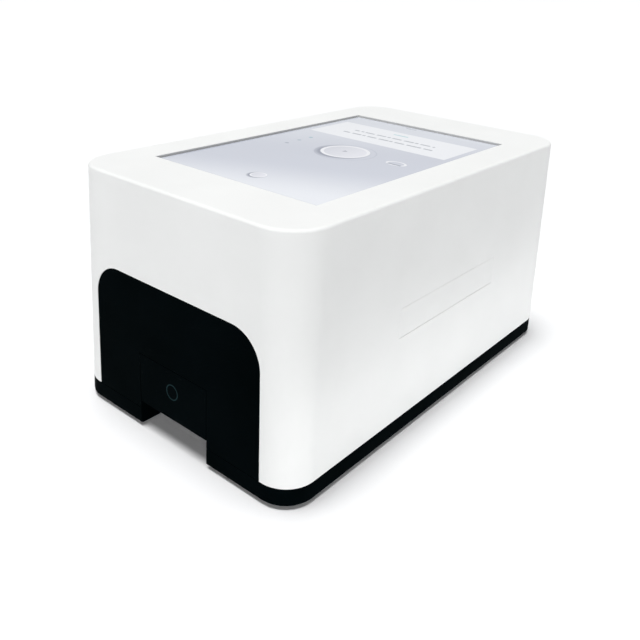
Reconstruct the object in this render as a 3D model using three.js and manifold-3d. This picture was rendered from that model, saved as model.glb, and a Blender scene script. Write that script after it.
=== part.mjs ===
// Rapid test reader: a bench-top unit with a screen in its top, that scans what is laid in its front drawer.
// Millimetres, +Z up, front facing -Y, origin under the middle of the base on the resting plane.
import * as THREE from "three";
import Module from "manifold-3d";
import { mergeVertices } from "three/addons/utils/BufferGeometryUtils.js";

const wasm = await Module();
wasm.setup();

// Case
const case_width = 148;
const case_depth = 250;
const case_height = 130;
const draft_deg = 2;
const corner_radius_top = 20;
const corner_radius_bottom = 16.5;
const top_edge_radius = 1.4;
const wall = 2.5;
const top_wall = 2.5;
const plinth_height = 9.3;
const foot_height = 2;

// Clearances
const fit_gap = 0.3;
const slide_gap = 0.4;
const seam_gap = 0.3;
const overrun = 1;

// Screen opening: the white left on each side, in front and behind
const opening_side_border = 19.9;
const opening_front_border = 35.4;
const opening_rear_border = 41.4;

// Drawer and notch
const drawer_width = 49.4;
const drawer_bottom_z = 15.8;
const drawer_top_z = 43.6;
const notch_width = 50;
const notch_depth = 28;
const cassette_width = 28;
const cassette_length = 78;
const cassette_height = 5;

const corner_steps = 8;
const edge_steps = 3;
const round_steps = 20;
const small_steps = 12;
const small_radius = 3.5;

const top_z = foot_height + case_height;
const plinth_top_z = foot_height + plinth_height;
const draft_slope = Math.tan(THREE.MathUtils.degToRad(draft_deg));
const opening_width = case_width - 2 * opening_side_border;
const opening_length = case_depth - opening_front_border - opening_rear_border;

// Surface finishes of the pieces
const finishes = {
  white_plastic: { color: 0xf0f2f0, roughness: 0.35, metalness: 0 },
  black_plastic: { color: 0x0a0e10, roughness: 0.4, metalness: 0 },
  grey_plastic: { color: 0x8d9294, roughness: 0.5, metalness: 0 },
  rubber: { color: 0x1b1c1d, roughness: 0.85, metalness: 0 },
  glass: { color: 0xdfe4ec, roughness: 0.05, metalness: 0 },
  screen: { color: 0xdde2ee, roughness: 0.2, metalness: 0 },
  steel: { color: 0xb9bcbf, roughness: 0.3, metalness: 1 },
  aluminium: { color: 0xc7cacc, roughness: 0.4, metalness: 1 },
  board: { color: 0x1f5b3a, roughness: 0.6, metalness: 0 },
};

const reader = new THREE.Group();

// A closed geometry becomes a solid that can be joined and cut.
function solid(geometry) {
  const plain = geometry.clone();
  plain.deleteAttribute("normal");
  plain.deleteAttribute("uv");
  const merged = mergeVertices(plain);
  const vertProperties = Float32Array.from(merged.attributes.position.array);
  const triVerts = Uint32Array.from(merged.index.array);
  return new wasm.Manifold(new wasm.Mesh({ numProp: 3, vertProperties, triVerts }));
}

function join(...bodies) {
  return bodies.reduce((whole, body) => whole.add(body));
}

function cut(whole, ...tools) {
  return tools.reduce((rest, tool) => rest.subtract(tool), whole);
}

function piece(name, body, finish, parent = reader) {
  const { vertProperties, triVerts } = body.getMesh();
  const geometry = new THREE.BufferGeometry();
  geometry.setAttribute("position", new THREE.BufferAttribute(vertProperties, 3));
  geometry.setIndex(new THREE.BufferAttribute(triVerts, 1));
  geometry.computeVertexNormals();
  const mesh = new THREE.Mesh(geometry, new THREE.MeshStandardMaterial(finishes[finish]));
  mesh.name = name;
  parent.add(mesh);
  return mesh;
}

function group(x, y, z, parent = reader) {
  const place = new THREE.Group();
  place.position.set(x, y, z);
  parent.add(place);
  return place;
}

function box(x0, x1, y0, y1, z0, z1) {
  const geometry = new THREE.BoxGeometry(x1 - x0, y1 - y0, z1 - z0);
  return solid(geometry.translate((x0 + x1) / 2, (y0 + y1) / 2, (z0 + z1) / 2));
}

// A box centred on x, from y0 to y1 and z0 to z1.
function centred(half_x, y0, y1, z0, z1, x = 0) {
  return box(x - half_x, x + half_x, y0, y1, z0, z1);
}

// A round bar along one axis; a and b are its place on the other two, in X, Y, Z order.
function bar(axis, radius, from, to, a = 0, b = 0) {
  const steps = radius < small_radius ? small_steps : round_steps;
  const geometry = new THREE.CylinderGeometry(radius, radius, to - from, steps);
  const middle = (from + to) / 2;
  if (axis === "x") geometry.rotateZ(Math.PI / 2).translate(middle, a, b);
  if (axis === "y") geometry.translate(a, middle, b);
  if (axis === "z") geometry.rotateX(Math.PI / 2).translate(a, b, middle);
  return solid(geometry);
}

// An outline drawn in the plane across an axis, run along that axis from one place to another.
function run(axis, shape, from, to) {
  const settings = { depth: to - from, bevelEnabled: false, curveSegments: corner_steps };
  const geometry = new THREE.ExtrudeGeometry(shape, settings);
  const [x, y, z] = [[1, 0, 0], [0, 1, 0], [0, 0, 1]].map((v) => new THREE.Vector3(...v));
  const turn = new THREE.Matrix4();
  if (axis === "x") geometry.applyMatrix4(turn.makeBasis(y, z, x)).translate(from, 0, 0);
  if (axis === "y") geometry.applyMatrix4(turn.makeBasis(x, z, y.negate())).translate(0, to, 0);
  if (axis === "z") geometry.translate(0, 0, from);
  return solid(geometry);
}

function roundedOutline(a0, a1, b0, b1, radius) {
  const quarter = Math.PI / 2;
  const shape = new THREE.Shape();
  shape.absarc(a1 - radius, b0 + radius, radius, -quarter, 0);
  shape.absarc(a1 - radius, b1 - radius, radius, 0, quarter);
  shape.absarc(a0 + radius, b1 - radius, radius, quarter, 2 * quarter);
  shape.absarc(a0 + radius, b0 + radius, radius, 2 * quarter, 3 * quarter);
  return shape;
}

function halfWidthAt(z) {
  return case_width / 2 + (top_z - z) * draft_slope;
}

function halfDepthAt(z) {
  return case_depth / 2 + (top_z - z) * draft_slope;
}

// The case outline at a height, moved inwards by the inset.
function caseOutline(z, inset) {
  const fall_share = (top_z - z) / case_height;
  const corner_fall = (corner_radius_bottom - corner_radius_top) * fall_share;
  const radius = corner_radius_top + corner_fall - inset;
  const reach_x = halfWidthAt(z) - inset - radius;
  const reach_y = halfDepthAt(z) - inset - radius;
  const corners = [[1, 1], [-1, 1], [-1, -1], [1, -1]];
  return corners.flatMap(([side_x, side_y], corner) => (
    Array.from({ length: corner_steps + 1 }, (_, step) => {
      const angle = (corner + step / corner_steps) * Math.PI / 2;
      const x = side_x * reach_x + radius * Math.cos(angle);
      const y = side_y * reach_y + radius * Math.sin(angle);
      return [x, y, z];
    })
  ));
}

// A closed body through case outlines, each level given as [z, inset] from the bottom up.
function caseBody(levels) {
  const rings = levels.map(([z, inset]) => caseOutline(z, inset));
  const size = rings[0].length;
  const faces = [];
  for (let k = 1; k + 1 < size; k += 1) {
    faces.push([0, k + 1, k]);
    const top = (rings.length - 1) * size;
    faces.push([top, top + k, top + k + 1]);
  }
  for (let level = 0; level + 1 < rings.length; level += 1) {
    for (let k = 0; k < size; k += 1) {
      const low = level * size;
      const next = (k + 1) % size;
      faces.push([low + k, low + next, low + size + next]);
      faces.push([low + k, low + size + next, low + size + k]);
    }
  }
  const geometry = new THREE.BufferGeometry();
  geometry.setAttribute("position", new THREE.Float32BufferAttribute(rings.flat(2), 3));
  geometry.setIndex(faces.flat());
  return solid(geometry);
}

function inner(inset, z0, z1) {
  return caseBody([[z0, inset], [z1, inset]]);
}

const room_x = case_width;
const room_y = case_depth;

function slab(z0, z1) {
  return centred(room_x, -room_y, room_y, z0, z1);
}

// The whole case block, with a rounded top edge and a small chamfer round the foot
const plinth_chamfer = 0.6;
const round_levels = Array.from({ length: edge_steps + 1 }, (_, step) => {
  const angle = step / edge_steps * Math.PI / 2;
  const z = top_z - top_edge_radius * (1 - Math.sin(angle));
  return [z, top_edge_radius * (1 - Math.cos(angle))];
});
const case_block = caseBody([
  [foot_height, plinth_chamfer],
  [foot_height + plinth_chamfer, 0],
  ...round_levels,
]);
const cavity = inner(wall, -overrun, top_z - top_wall);

// Screws: a round head and a shank, along Z from the seat of the head
function screw(spec, x, y, seat_z, direction) {
  const head_end = seat_z + direction * spec.head_height;
  const tip = seat_z - direction * spec.length;
  const head = bar("z", spec.head_radius, Math.min(seat_z, head_end), Math.max(seat_z, head_end), x, y);
  const shank = bar("z", spec.radius, Math.min(seat_z, tip), Math.max(seat_z, tip), x, y);
  return join(head, shank);
}

function screwHole(spec, x, y, z0, z1) {
  return bar("z", spec.radius + fit_gap, z0, z1, x, y);
}

// Base tray: the black plinth with its floor, the lip inside the shell and the finger notch
const base_floor = 3;
const floor_z = foot_height + base_floor;
const lip_height = 6;
const lip_wall = 2;
const lip_top_z = plinth_top_z + lip_height;
const lip_inset = wall + fit_gap;
const notch_wall = 2.5;
const notch_clearance = 0.3;
const notch_top_z = drawer_bottom_z - notch_clearance;
const front_y = -halfDepthAt(foot_height);
const notch_back_y = front_y + notch_depth;

// Front window and the panel that fills it
const window_side_border = 13.8;
const window_half_width = case_width / 2 - window_side_border;
const window_top_z = 84;
const window_radius = 18;
const panel_flange = 4;
const flange_thickness = 2;
const panel_thickness = wall + fit_gap + flange_thickness;

function windowOutline(inset) {
  const lean = THREE.MathUtils.degToRad(draft_deg);
  const radius = window_radius - inset;
  const centre_z = window_top_z - window_radius;
  const edge_x = window_half_width - (centre_z - plinth_top_z) * draft_slope - inset / Math.cos(lean);
  const centre_x = edge_x - radius / Math.cos(lean);
  const low_z = foot_height;
  const low_x = edge_x + (centre_z - low_z) * draft_slope;
  const shape = new THREE.Shape();
  shape.moveTo(-low_x, low_z);
  shape.lineTo(low_x, low_z);
  shape.absarc(centre_x, centre_z, radius, lean, Math.PI / 2);
  shape.absarc(-centre_x, centre_z, radius, Math.PI / 2, Math.PI - lean);
  return shape;
}

const front_cut_y = -halfDepthAt(window_top_z) + panel_thickness + overrun;
const front_start_y = front_y - overrun;

function frontRun(inset) {
  return run("y", windowOutline(inset), front_start_y, front_cut_y);
}

// Rear bay: a flat panel set behind a window in the shell's back
const rear_window_side_border = 24;
const rear_window_half_width = case_width / 2 - rear_window_side_border;
const rear_window_top_z = 46;
const rear_window_radius = 6;
const rear_panel_border = 6;
const rear_bay_depth = 4;
const rear_panel_face_y = halfDepthAt(rear_window_top_z) - rear_bay_depth;
const rear_panel_thickness = 2.5;
const rear_panel_back_y = rear_panel_face_y - rear_panel_thickness;
const rear_end_y = halfDepthAt(foot_height) + overrun;

function rearWindow(border, y0, y1) {
  const half = rear_window_half_width + border;
  const radius = rear_window_radius;
  const outline = roundedOutline(-half, half, foot_height, rear_window_top_z + border, radius);
  return run("y", outline, y0, y1);
}

// Cover on the right side, flush, with a wider gap along its lower edge to pull it by
const side_cover_half_length = 48;
const side_cover_bottom_z = 59.5;
const side_cover_top_z = 75.8;
const side_cover_grip_gap = 1;
const side_cover_flange = 3;
const side_cover_y = 0;
const side_end_x = halfWidthAt(foot_height) + overrun;
const side_start_x = halfWidthAt(side_cover_top_z) - panel_thickness - overrun;

function sideRun(out, low, x0 = side_start_x) {
  const half = side_cover_half_length + out;
  const z0 = side_cover_bottom_z - low;
  const z1 = side_cover_top_z + out;
  return box(x0, side_end_x, side_cover_y - half, side_cover_y + half, z0, z1);
}

// Posts under the shell's roof take the screws that come up through the base
const post_radius = 4.5;
const post_side_inset = 14;
const post_end_inset = 15;
const post_x = case_width / 2 - post_side_inset;
const post_y = case_depth / 2 - post_end_inset;
const post_seat_height = 3;
const post_bottom_z = floor_z + post_seat_height + fit_gap;
const case_screw = { radius: 1.5, head_radius: 3, head_height: 1.6, length: 18 };
const case_screw_seat = 0.8;
const case_screw_seat_z = floor_z - case_screw_seat;
const case_screw_tip_z = case_screw_seat_z + case_screw.length;
const post_places = [[-1, -1], [1, -1], [-1, 1], [1, 1]].map(([sx, sy]) => [sx * post_x, sy * post_y]);

// Screen stack under the roof: glass, stepped to rise into the opening, gasket, display, bracket
const glass_margin = 8;
const glass_recess = 1.1;
const glass_thickness = 1.8;
const display_side_overlap = 3.2;
const display_end_overlap = 5.45;
const display_thickness = 2.6;
const gasket_thickness = 1;
const bracket_floor = 1.5;
const opening_front_y = -case_depth / 2 + opening_front_border;
const screen_y = opening_front_y + opening_length / 2;
const glass_half_x = opening_width / 2 + glass_margin;
const glass_half_y = opening_length / 2 + glass_margin;
const display_half_x = opening_width / 2 + display_side_overlap;
const display_half_y = opening_length / 2 + display_end_overlap;
const roof_z = top_z - top_wall;
const glass_top_z = roof_z - fit_gap;
const glass_bottom_z = glass_top_z - glass_thickness;
const glass_face_z = top_z - glass_recess;
const display_top_z = glass_bottom_z - fit_gap;
const display_bottom_z = display_top_z - display_thickness;
const gasket_bottom_z = display_top_z - gasket_thickness;
const bracket_top_z = display_bottom_z - fit_gap;
const bracket_bottom_z = bracket_top_z - bracket_floor;

const tab_boss_radius = 3.2;
const tab_boss_inset = 1.3;
const tab_half_length = 6;
const tab_boss_x = glass_half_x + tab_boss_inset + tab_boss_radius;
const tab_row_shares = [-0.8, 0, 0.8];
const display_screw = { radius: 1.2, head_radius: 2.4, head_height: 1.5, length: 5 };
const display_screw_play = 0.5;
const display_pilot_z = bracket_bottom_z + display_screw.length + display_screw_play;
const tab_places = [-1, 1].flatMap((side) => (
  tab_row_shares.map((share) => [side * tab_boss_x, screen_y + share * glass_half_y])
));

function onScreen(half_x, half_y, z0, z1) {
  return box(-half_x, half_x, screen_y - half_y, screen_y + half_y, z0, z1);
}

// Outer shell
const shell_posts = post_places.map(([x, y]) => bar("z", post_radius, post_bottom_z, roof_z + overrun, x, y));
const post_pilots = post_places.map(([x, y]) => (
  screwHole(case_screw, x, y, post_bottom_z - overrun, case_screw_tip_z + fit_gap)
));
const tab_bosses = tab_places.map(([x, y]) => (
  bar("z", tab_boss_radius, bracket_top_z + fit_gap, roof_z + overrun, x, y)
));
const tab_pilots = tab_places.map(([x, y]) => (
  screwHole(display_screw, x, y, bracket_bottom_z, display_pilot_z)
));
const shell_skin = cut(case_block.intersect(slab(plinth_top_z + seam_gap, top_z + overrun)), cavity);
const outer_shell = cut(
  join(shell_skin, ...shell_posts, ...tab_bosses),
  onScreen(opening_width / 2, opening_length / 2, roof_z - overrun, top_z + overrun),
  frontRun(0),
  rearWindow(0, rear_panel_face_y, rear_end_y),
  sideRun(0, 0),
  ...post_pilots,
  ...tab_pilots,
);
piece("outer_shell", outer_shell, "white_plastic");

// Front panel: flush with the shell, with a flange behind the window's edge
const panel_low = slab(plinth_top_z + seam_gap, top_z);
const panel_face = cut(case_block, inner(panel_thickness, -overrun, top_z + overrun))
  .intersect(frontRun(seam_gap));
const panel_rim = cut(
  inner(lip_inset, foot_height, top_z),
  inner(panel_thickness, -overrun, top_z + overrun),
).intersect(frontRun(-panel_flange));
const aperture_top_z = drawer_top_z + seam_gap;
const aperture = centred(notch_width / 2, front_start_y, front_cut_y, foot_height, aperture_top_z);
piece("front_panel", cut(join(panel_face, panel_rim).intersect(panel_low), aperture), "black_plastic");

// Side cover
const cover_face = cut(case_block, inner(panel_thickness, -overrun, top_z + overrun))
  .intersect(sideRun(-seam_gap, -side_cover_grip_gap));
const cover_rim = cut(
  inner(lip_inset, foot_height, top_z),
  inner(panel_thickness, -overrun, top_z + overrun),
).intersect(sideRun(side_cover_flange, side_cover_flange));
piece("side_cover", join(cover_face, cover_rim), "white_plastic");

// Feet, each bedded in a shallow round seat
const foot_radius = 7;
const foot_bed = 0.8;
const foot_side_inset = 16;
const foot_end_inset = 35;
const foot_x = case_width / 2 - foot_side_inset;
const foot_y = case_depth / 2 - foot_end_inset;
const foot_places = {
  foot_front_left: [-foot_x, -foot_y],
  foot_front_right: [foot_x, -foot_y],
  foot_rear_left: [-foot_x, foot_y],
  foot_rear_right: [foot_x, foot_y],
};
for (const [name, [x, y]] of Object.entries(foot_places)) {
  const foot = bar("z", foot_radius, 0, foot_height + foot_bed - fit_gap);
  piece(name, foot, "rubber", group(x, y, 0));
}

// Layout along the case, from the rear: main board, catch, magnet, and the closed drawer's end
const board_length = 72;
const board_rear_gap = 13;
const board_catch_gap = 19.4;
const catch_wall = 2.5;
const magnet_depth = 4;
const striker_thickness = 1.2;
const board_back_y = case_depth / 2 - board_rear_gap;
const board_front_y = board_back_y - board_length;
const catch_back_y = board_front_y - board_catch_gap;
const magnet_back_y = catch_back_y - catch_wall - fit_gap;
const magnet_front_y = magnet_back_y - magnet_depth;
const striker_back_y = magnet_front_y - fit_gap - fit_gap;
const striker_front_y = striker_back_y - striker_thickness;
const sled_back_y = striker_front_y - fit_gap;

// Drawer rails: a channel on each side, on legs that stand behind the notch
const tongue_half_width = 24.2;
const sled_half_width = 20;
const rail_outer_x = 28;
const rail_leg_x = 24.8;
const rail_foot_x = 34.5;
const rail_foot_height = 2.5;
const rail_setback = 3.5;
const rail_catch_gap = 2.1;
const rail_front_y = -case_depth / 2 + rail_setback;
const rail_back_y = catch_back_y - rail_catch_gap;
const rail_height = 7.6;
const rail_bottom_z = notch_top_z + fit_gap;
const rail_top_z = rail_bottom_z + rail_height;
const tongue_thickness = 2;
const tongue_lift = 2.4;
const tongue_bottom_z = rail_bottom_z + tongue_lift;
const tongue_top_z = tongue_bottom_z + tongue_thickness;
const rail_leg_gap = 1;
const rail_leg_front_y = notch_back_y + notch_wall + rail_leg_gap;
const floor_peg = { radius: 1.25, head_radius: 2.4, head_height: 1.2, length: 4.6 };
const floor_peg_inset = 12;
const rail_screw_x = (rail_outer_x + rail_foot_x) / 2;
const rail_screw_ys = [rail_leg_front_y + floor_peg_inset, rail_back_y - floor_peg_inset];
const flange_seat_z = floor_z + fit_gap + rail_foot_height;

for (const [name, side] of [["drawer_rail_left", -1], ["drawer_rail_right", 1]]) {
  const block = (x0, x1, ...rest) => box(...[side * x0, side * x1].sort((a, b) => a - b), ...rest);
  const channel = block(
    sled_half_width + slide_gap,
    rail_outer_x,
    rail_front_y,
    rail_back_y,
    rail_bottom_z,
    rail_top_z,
  );
  const leg_run = [rail_leg_front_y, rail_back_y, floor_z + fit_gap];
  const leg = block(rail_leg_x, rail_outer_x, ...leg_run, rail_top_z);
  const sole = block(rail_leg_x, rail_foot_x, ...leg_run, flange_seat_z);
  const holes = rail_screw_ys.map((y) => (
    screwHole(floor_peg, side * rail_screw_x, y, floor_z, flange_seat_z + overrun)
  ));
  const groove = block(
    sled_half_width,
    tongue_half_width + slide_gap,
    rail_front_y - overrun,
    rail_back_y + overrun,
    tongue_bottom_z - slide_gap,
    tongue_top_z + slide_gap,
  );
  piece(name, cut(join(channel, leg, sole), groove, ...holes), "grey_plastic");
}

// Drawer: front, sled with its sample pocket, striker plate
const drawer_front_thickness = 3;
const drawer_back_y = -halfDepthAt(drawer_top_z) + drawer_front_thickness;
const sled_bottom_z = rail_bottom_z + fit_gap;
const sled_floor = 2.6;
const sled_front_wall = 3;
const sled_head_top_z = drawer_top_z - drawer_front_thickness;
const sled_front_y = drawer_back_y + fit_gap;
const pocket_gap = 0.5;
const pocket_front_y = sled_front_y + sled_front_wall + pocket_gap;
const pocket_back_y = pocket_front_y + cassette_length + pocket_gap + pocket_gap;
const pocket_half_width = cassette_width / 2 + pocket_gap;
const sled_floor_z = sled_bottom_z + sled_floor;
const sled_top_z = sled_floor_z + cassette_height;
const thumb_half_length = 9;
const tail_well_margin = 5;
const drawer = group(0, drawer_back_y, 0);

function inDrawer(body) {
  return body.translate([0, -drawer_back_y, 0]);
}

const drawer_face = case_block.intersect(
  centred(drawer_width / 2, front_start_y, drawer_back_y, drawer_bottom_z, drawer_top_z),
);
piece("drawer_front", inDrawer(drawer_face), "black_plastic", drawer);

const sled = cut(
  join(
    centred(sled_half_width, sled_front_y, sled_back_y, sled_bottom_z, sled_top_z),
    centred(sled_half_width, sled_front_y, sled_front_y + sled_front_wall, sled_bottom_z, sled_head_top_z),
    centred(tongue_half_width, sled_front_y, sled_back_y, tongue_bottom_z, tongue_top_z),
  ),
  centred(pocket_half_width, pocket_front_y, pocket_back_y, sled_floor_z, sled_top_z + overrun),
  centred(
    sled_half_width + overrun,
    (pocket_front_y + pocket_back_y) / 2 - thumb_half_length,
    (pocket_front_y + pocket_back_y) / 2 + thumb_half_length,
    tongue_top_z + slide_gap,
    sled_top_z + overrun,
  ),
  centred(
    sled_half_width - tail_well_margin,
    pocket_back_y + tail_well_margin,
    sled_back_y - tail_well_margin,
    sled_floor_z,
    sled_top_z + overrun,
  ),
);
piece("cassette_tray", inDrawer(sled), "black_plastic", drawer);

const striker_half_width = 7;
const striker_margin = 0.7;
const striker_bottom_z = sled_bottom_z + striker_margin;
const striker_top_z = sled_top_z - striker_margin;
const striker_run = [striker_front_y, striker_back_y, striker_bottom_z, striker_top_z];
piece("striker_plate", inDrawer(centred(striker_half_width, ...striker_run)), "steel", drawer);

// Catch: a magnet in a bracket behind the closed drawer
const magnet_half_width = 6;
const catch_half_width = magnet_half_width + fit_gap + catch_wall;
const catch_front_y = magnet_front_y + fit_gap;
const catch_top_z = striker_top_z + fit_gap + catch_wall;
const catch_foot_reach = 8;
const catch_screw_x = catch_half_width + catch_foot_reach / 2;
const catch_screw_y = (catch_front_y + catch_back_y) / 2;
piece(
  "catch_magnet",
  centred(magnet_half_width, magnet_front_y, magnet_back_y, striker_bottom_z, striker_top_z),
  "steel",
);
const catch_foot_half_width = catch_half_width + catch_foot_reach;
piece(
  "catch_bracket",
  cut(
    join(
      centred(catch_half_width, catch_front_y, catch_back_y, floor_z + fit_gap, catch_top_z),
      centred(catch_foot_half_width, catch_front_y, catch_back_y, floor_z + fit_gap, flange_seat_z),
    ),
    centred(
      magnet_half_width + fit_gap,
      catch_front_y - overrun,
      magnet_back_y + fit_gap,
      striker_bottom_z - fit_gap,
      striker_top_z + fit_gap,
    ),
    ...[-1, 1].map((side) => (
      screwHole(floor_peg, side * catch_screw_x, catch_screw_y, floor_z, flange_seat_z + overrun)
    )),
  ),
  "grey_plastic",
);

// Scan drive: a belt over two pulleys, with a clamp on the carriage's lower run
const frame_setback = 8;
const carriage_travel = 55;
const carriage_half_length = 13;
const clamp_half_length = 3;
const pulley_radius = 6;
const pulley_flange_radius = 8.2;
const pulley_flange = 0.7;
const belt_width = 5;
const belt_thickness = 1.2;
const belt_play = 0.3;
const belt_x = 32;
const run_out = 0.8;
const drive_z = 75;
const frame_front_y = -case_depth / 2 + frame_setback;
const idler_y = frame_front_y + run_out + pulley_flange_radius;
const carriage_front_y = idler_y + pulley_flange_radius + run_out + clamp_half_length;
const carriage_y = carriage_front_y + carriage_travel;
const drive_y = carriage_y + clamp_half_length + run_out + pulley_flange_radius;
const frame_back_y = drive_y + pulley_flange_radius + run_out;
const pulley_half_width = belt_width / 2 + belt_play;
const belt_inner_radius = pulley_radius + fit_gap;
const belt_outer_radius = belt_inner_radius + belt_thickness;

// Optics frame: two side walls and two cross plates over the drawer rails
const frame_rail_gap = 1.5;
const frame_inner_x = rail_foot_x + frame_rail_gap;
const frame_wall = 2.5;
const frame_outer_x = frame_inner_x + frame_wall;
const frame_height = 85;
const frame_top_z = floor_z + frame_height;
const frame_foot_reach = 8;
const frame_post_gap = 1;
const frame_foot_x = frame_outer_x + frame_foot_reach;
const frame_foot_front_y = -post_y + post_radius + frame_post_gap;
const frame_passage_half_width = rail_foot_x + fit_gap;
const frame_passage_top_z = 27;
const frame_light_margin = 9;
const frame_light_bottom_z = frame_passage_top_z + frame_light_margin;
const rod_radius = 2.5;
const rod_x = 24;
const rod_z = 60;
const frame_light_top_z = rod_z - frame_light_margin;
const frame_screw_x = frame_outer_x + frame_foot_reach / 2;
const frame_screw_ys = [frame_foot_front_y + floor_peg_inset, frame_back_y - floor_peg_inset];

const shaft_radius = 2.5;
const shaft_boss_radius = 5;
const pin_radius = 2;
const motor_half = 14;
const motor_wall_gap = 10.7;
const motor_x = frame_outer_x + fit_gap;
const motor_end_x = halfWidthAt(drive_z) - wall - motor_wall_gap;
const motor_screw = { radius: 1.2, head_radius: 2.2, head_height: 1.4, length: 6 };
const motor_screw_reach = 6.5;
const motor_screw_rise = 11.5;

function frameWall(side) {
  const x = side * (frame_inner_x + frame_wall / 2);
  const ends = [frame_front_y - frame_wall, frame_back_y + frame_wall];
  return centred(frame_wall / 2, ...ends, floor_z + fit_gap, frame_top_z, x);
}

function crossPlate(y0) {
  return centred(frame_outer_x, y0, y0 + frame_wall, floor_z + fit_gap, frame_top_z);
}

const frame_feet = [-1, 1].map((side) => {
  const half = (frame_foot_reach + overrun) / 2;
  const x = side * (frame_foot_x - half);
  return centred(half, frame_foot_front_y, frame_back_y, floor_z + fit_gap, flange_seat_z, x);
});
const frame_ends_y = [frame_front_y - frame_wall - overrun, frame_back_y + frame_wall + overrun];
const frame_passage = centred(frame_passage_half_width, ...frame_ends_y, floor_z, frame_passage_top_z);
const frame_light = box(
  -frame_foot_x,
  frame_foot_x,
  frame_front_y + frame_light_margin,
  frame_back_y - frame_light_margin,
  frame_light_bottom_z,
  frame_light_top_z,
);
const rod_holes = [-rod_x, rod_x].map((x) => bar("y", rod_radius + fit_gap, ...frame_ends_y, x, rod_z));
const frame_screw_places = [-1, 1].flatMap((side) => frame_screw_ys.map((y) => [side * frame_screw_x, y]));
const frame_holes = frame_screw_places.map(([x, y]) => (
  screwHole(floor_peg, x, y, floor_z, flange_seat_z + overrun)
));
const shaft_hole = bar("x", shaft_boss_radius, frame_inner_x - overrun, motor_x, drive_y, drive_z);
const pin_hole = bar("x", pin_radius + fit_gap, frame_inner_x - overrun, motor_x, idler_y, drive_z);
const motor_screw_places = [-1, 1].map((side) => (
  [drive_y + side * motor_screw_reach, drive_z + motor_screw_rise]
));
const motor_screw_holes = motor_screw_places.map(([y, z]) => (
  bar("x", motor_screw.radius + fit_gap, frame_inner_x - overrun, motor_x, y, z)
));
piece(
  "optics_frame",
  cut(
    join(
      frameWall(-1),
      frameWall(1),
      crossPlate(frame_front_y - frame_wall),
      crossPlate(frame_back_y),
      ...frame_feet,
    ),
    frame_passage,
    frame_light,
    ...rod_holes,
    ...frame_holes,
    shaft_hole,
    pin_hole,
    ...motor_screw_holes,
  ),
  "aluminium",
);

const rod_length = frame_back_y - frame_front_y + frame_wall + frame_wall;
for (const [name, x] of [["guide_rod_left", -rod_x], ["guide_rod_right", rod_x]]) {
  const rod = bar("y", rod_radius, -rod_length / 2, rod_length / 2);
  piece(name, rod, "steel", group(x, (frame_front_y + frame_back_y) / 2, rod_z));
}

// Scan carriage and what it carries, placed round the middle of the rods
const carriage_half_width = 29;
const carriage_half_height = 6;
const lens_radius = 7;
const clamp_outer_x = frame_inner_x - run_out;
const clamp_height = 2;
const arm_inner_x = 26;
const belt_low_z = drive_z - belt_outer_radius - rod_z;
const belt_high_z = drive_z - belt_inner_radius - rod_z;
const clamp_top_z = belt_high_z + fit_gap + clamp_height;
const carriage = group(0, carriage_y, rod_z);
const carriage_run = [-carriage_half_length, carriage_half_length];
const carriage_rise = [-carriage_half_height, carriage_half_height];

const carriage_block = cut(
  join(
    centred(carriage_half_width, ...carriage_run, ...carriage_rise),
    box(arm_inner_x, clamp_outer_x, -clamp_half_length, clamp_half_length, ...carriage_rise),
    box(
      belt_x - belt_width / 2 - run_out,
      clamp_outer_x,
      -clamp_half_length,
      clamp_half_length,
      carriage_half_height - overrun,
      clamp_top_z,
    ),
  ),
  box(
    belt_x - belt_width / 2 - fit_gap,
    clamp_outer_x + overrun,
    -carriage_half_length,
    carriage_half_length,
    belt_low_z - fit_gap,
    belt_high_z + fit_gap,
  ),
  ...[-rod_x, rod_x].map((x) => (
    bar("y", rod_radius + fit_gap, -carriage_half_length - overrun, carriage_half_length + overrun, x, 0)
  )),
  bar("z", lens_radius + fit_gap, -carriage_half_height - overrun, carriage_half_height + overrun),
);
piece("scan_carriage", carriage_block, "black_plastic", carriage);

const camera_half = 12;
const camera_board = 1.6;
const sensor_half = 7;
const sensor_height = 8;
const camera_bottom_z = carriage_half_height + fit_gap;
piece(
  "camera_module",
  join(
    centred(camera_half, -camera_half, camera_half, camera_bottom_z, camera_bottom_z + camera_board),
    centred(sensor_half, -sensor_half, sensor_half, camera_bottom_z, camera_bottom_z + sensor_height),
  ),
  "board",
  carriage,
);

const lens_length = 18;
const lens_wall = 1.2;
const lens_aperture_radius = 4;
const glass_disc_thickness = 2;
const lens_bottom_z = carriage_half_height - lens_length;
const lens_seat_z = lens_bottom_z + glass_disc_thickness + fit_gap;
piece(
  "lens_barrel",
  cut(
    bar("z", lens_radius, lens_bottom_z, carriage_half_height),
    bar("z", lens_radius - lens_wall, lens_bottom_z - overrun, lens_seat_z),
    bar("z", lens_aperture_radius, lens_bottom_z - overrun, carriage_half_height + overrun),
  ),
  "black_plastic",
  carriage,
);
piece(
  "front_lens",
  bar("z", lens_radius - lens_wall - fit_gap, lens_bottom_z, lens_bottom_z + glass_disc_thickness),
  "glass",
  carriage,
);

const lamp_half_x = 15;
const lamp_half_y = 11;
const lamp_thickness = 1.6;
const lamp_top_z = -carriage_half_height - fit_gap;
const lamp_bottom_z = lamp_top_z - lamp_thickness;
const led_half = 1.5;
const led_height = 1;
const led_row_shares = [-0.7, 0.7];
const leds = led_row_shares.flatMap((share_x) => led_row_shares.map((share_y) => {
  const x = share_x * lamp_half_x;
  const y = share_y * lamp_half_y;
  return centred(led_half, y - led_half, y + led_half, lamp_bottom_z - led_height, lamp_top_z, x);
}));
piece(
  "lamp_board",
  cut(
    join(centred(lamp_half_x, -lamp_half_y, lamp_half_y, lamp_bottom_z, lamp_top_z), ...leds),
    bar("z", lens_radius + fit_gap, lamp_bottom_z - overrun, lamp_top_z + overrun),
  ),
  "board",
  carriage,
);

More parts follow.
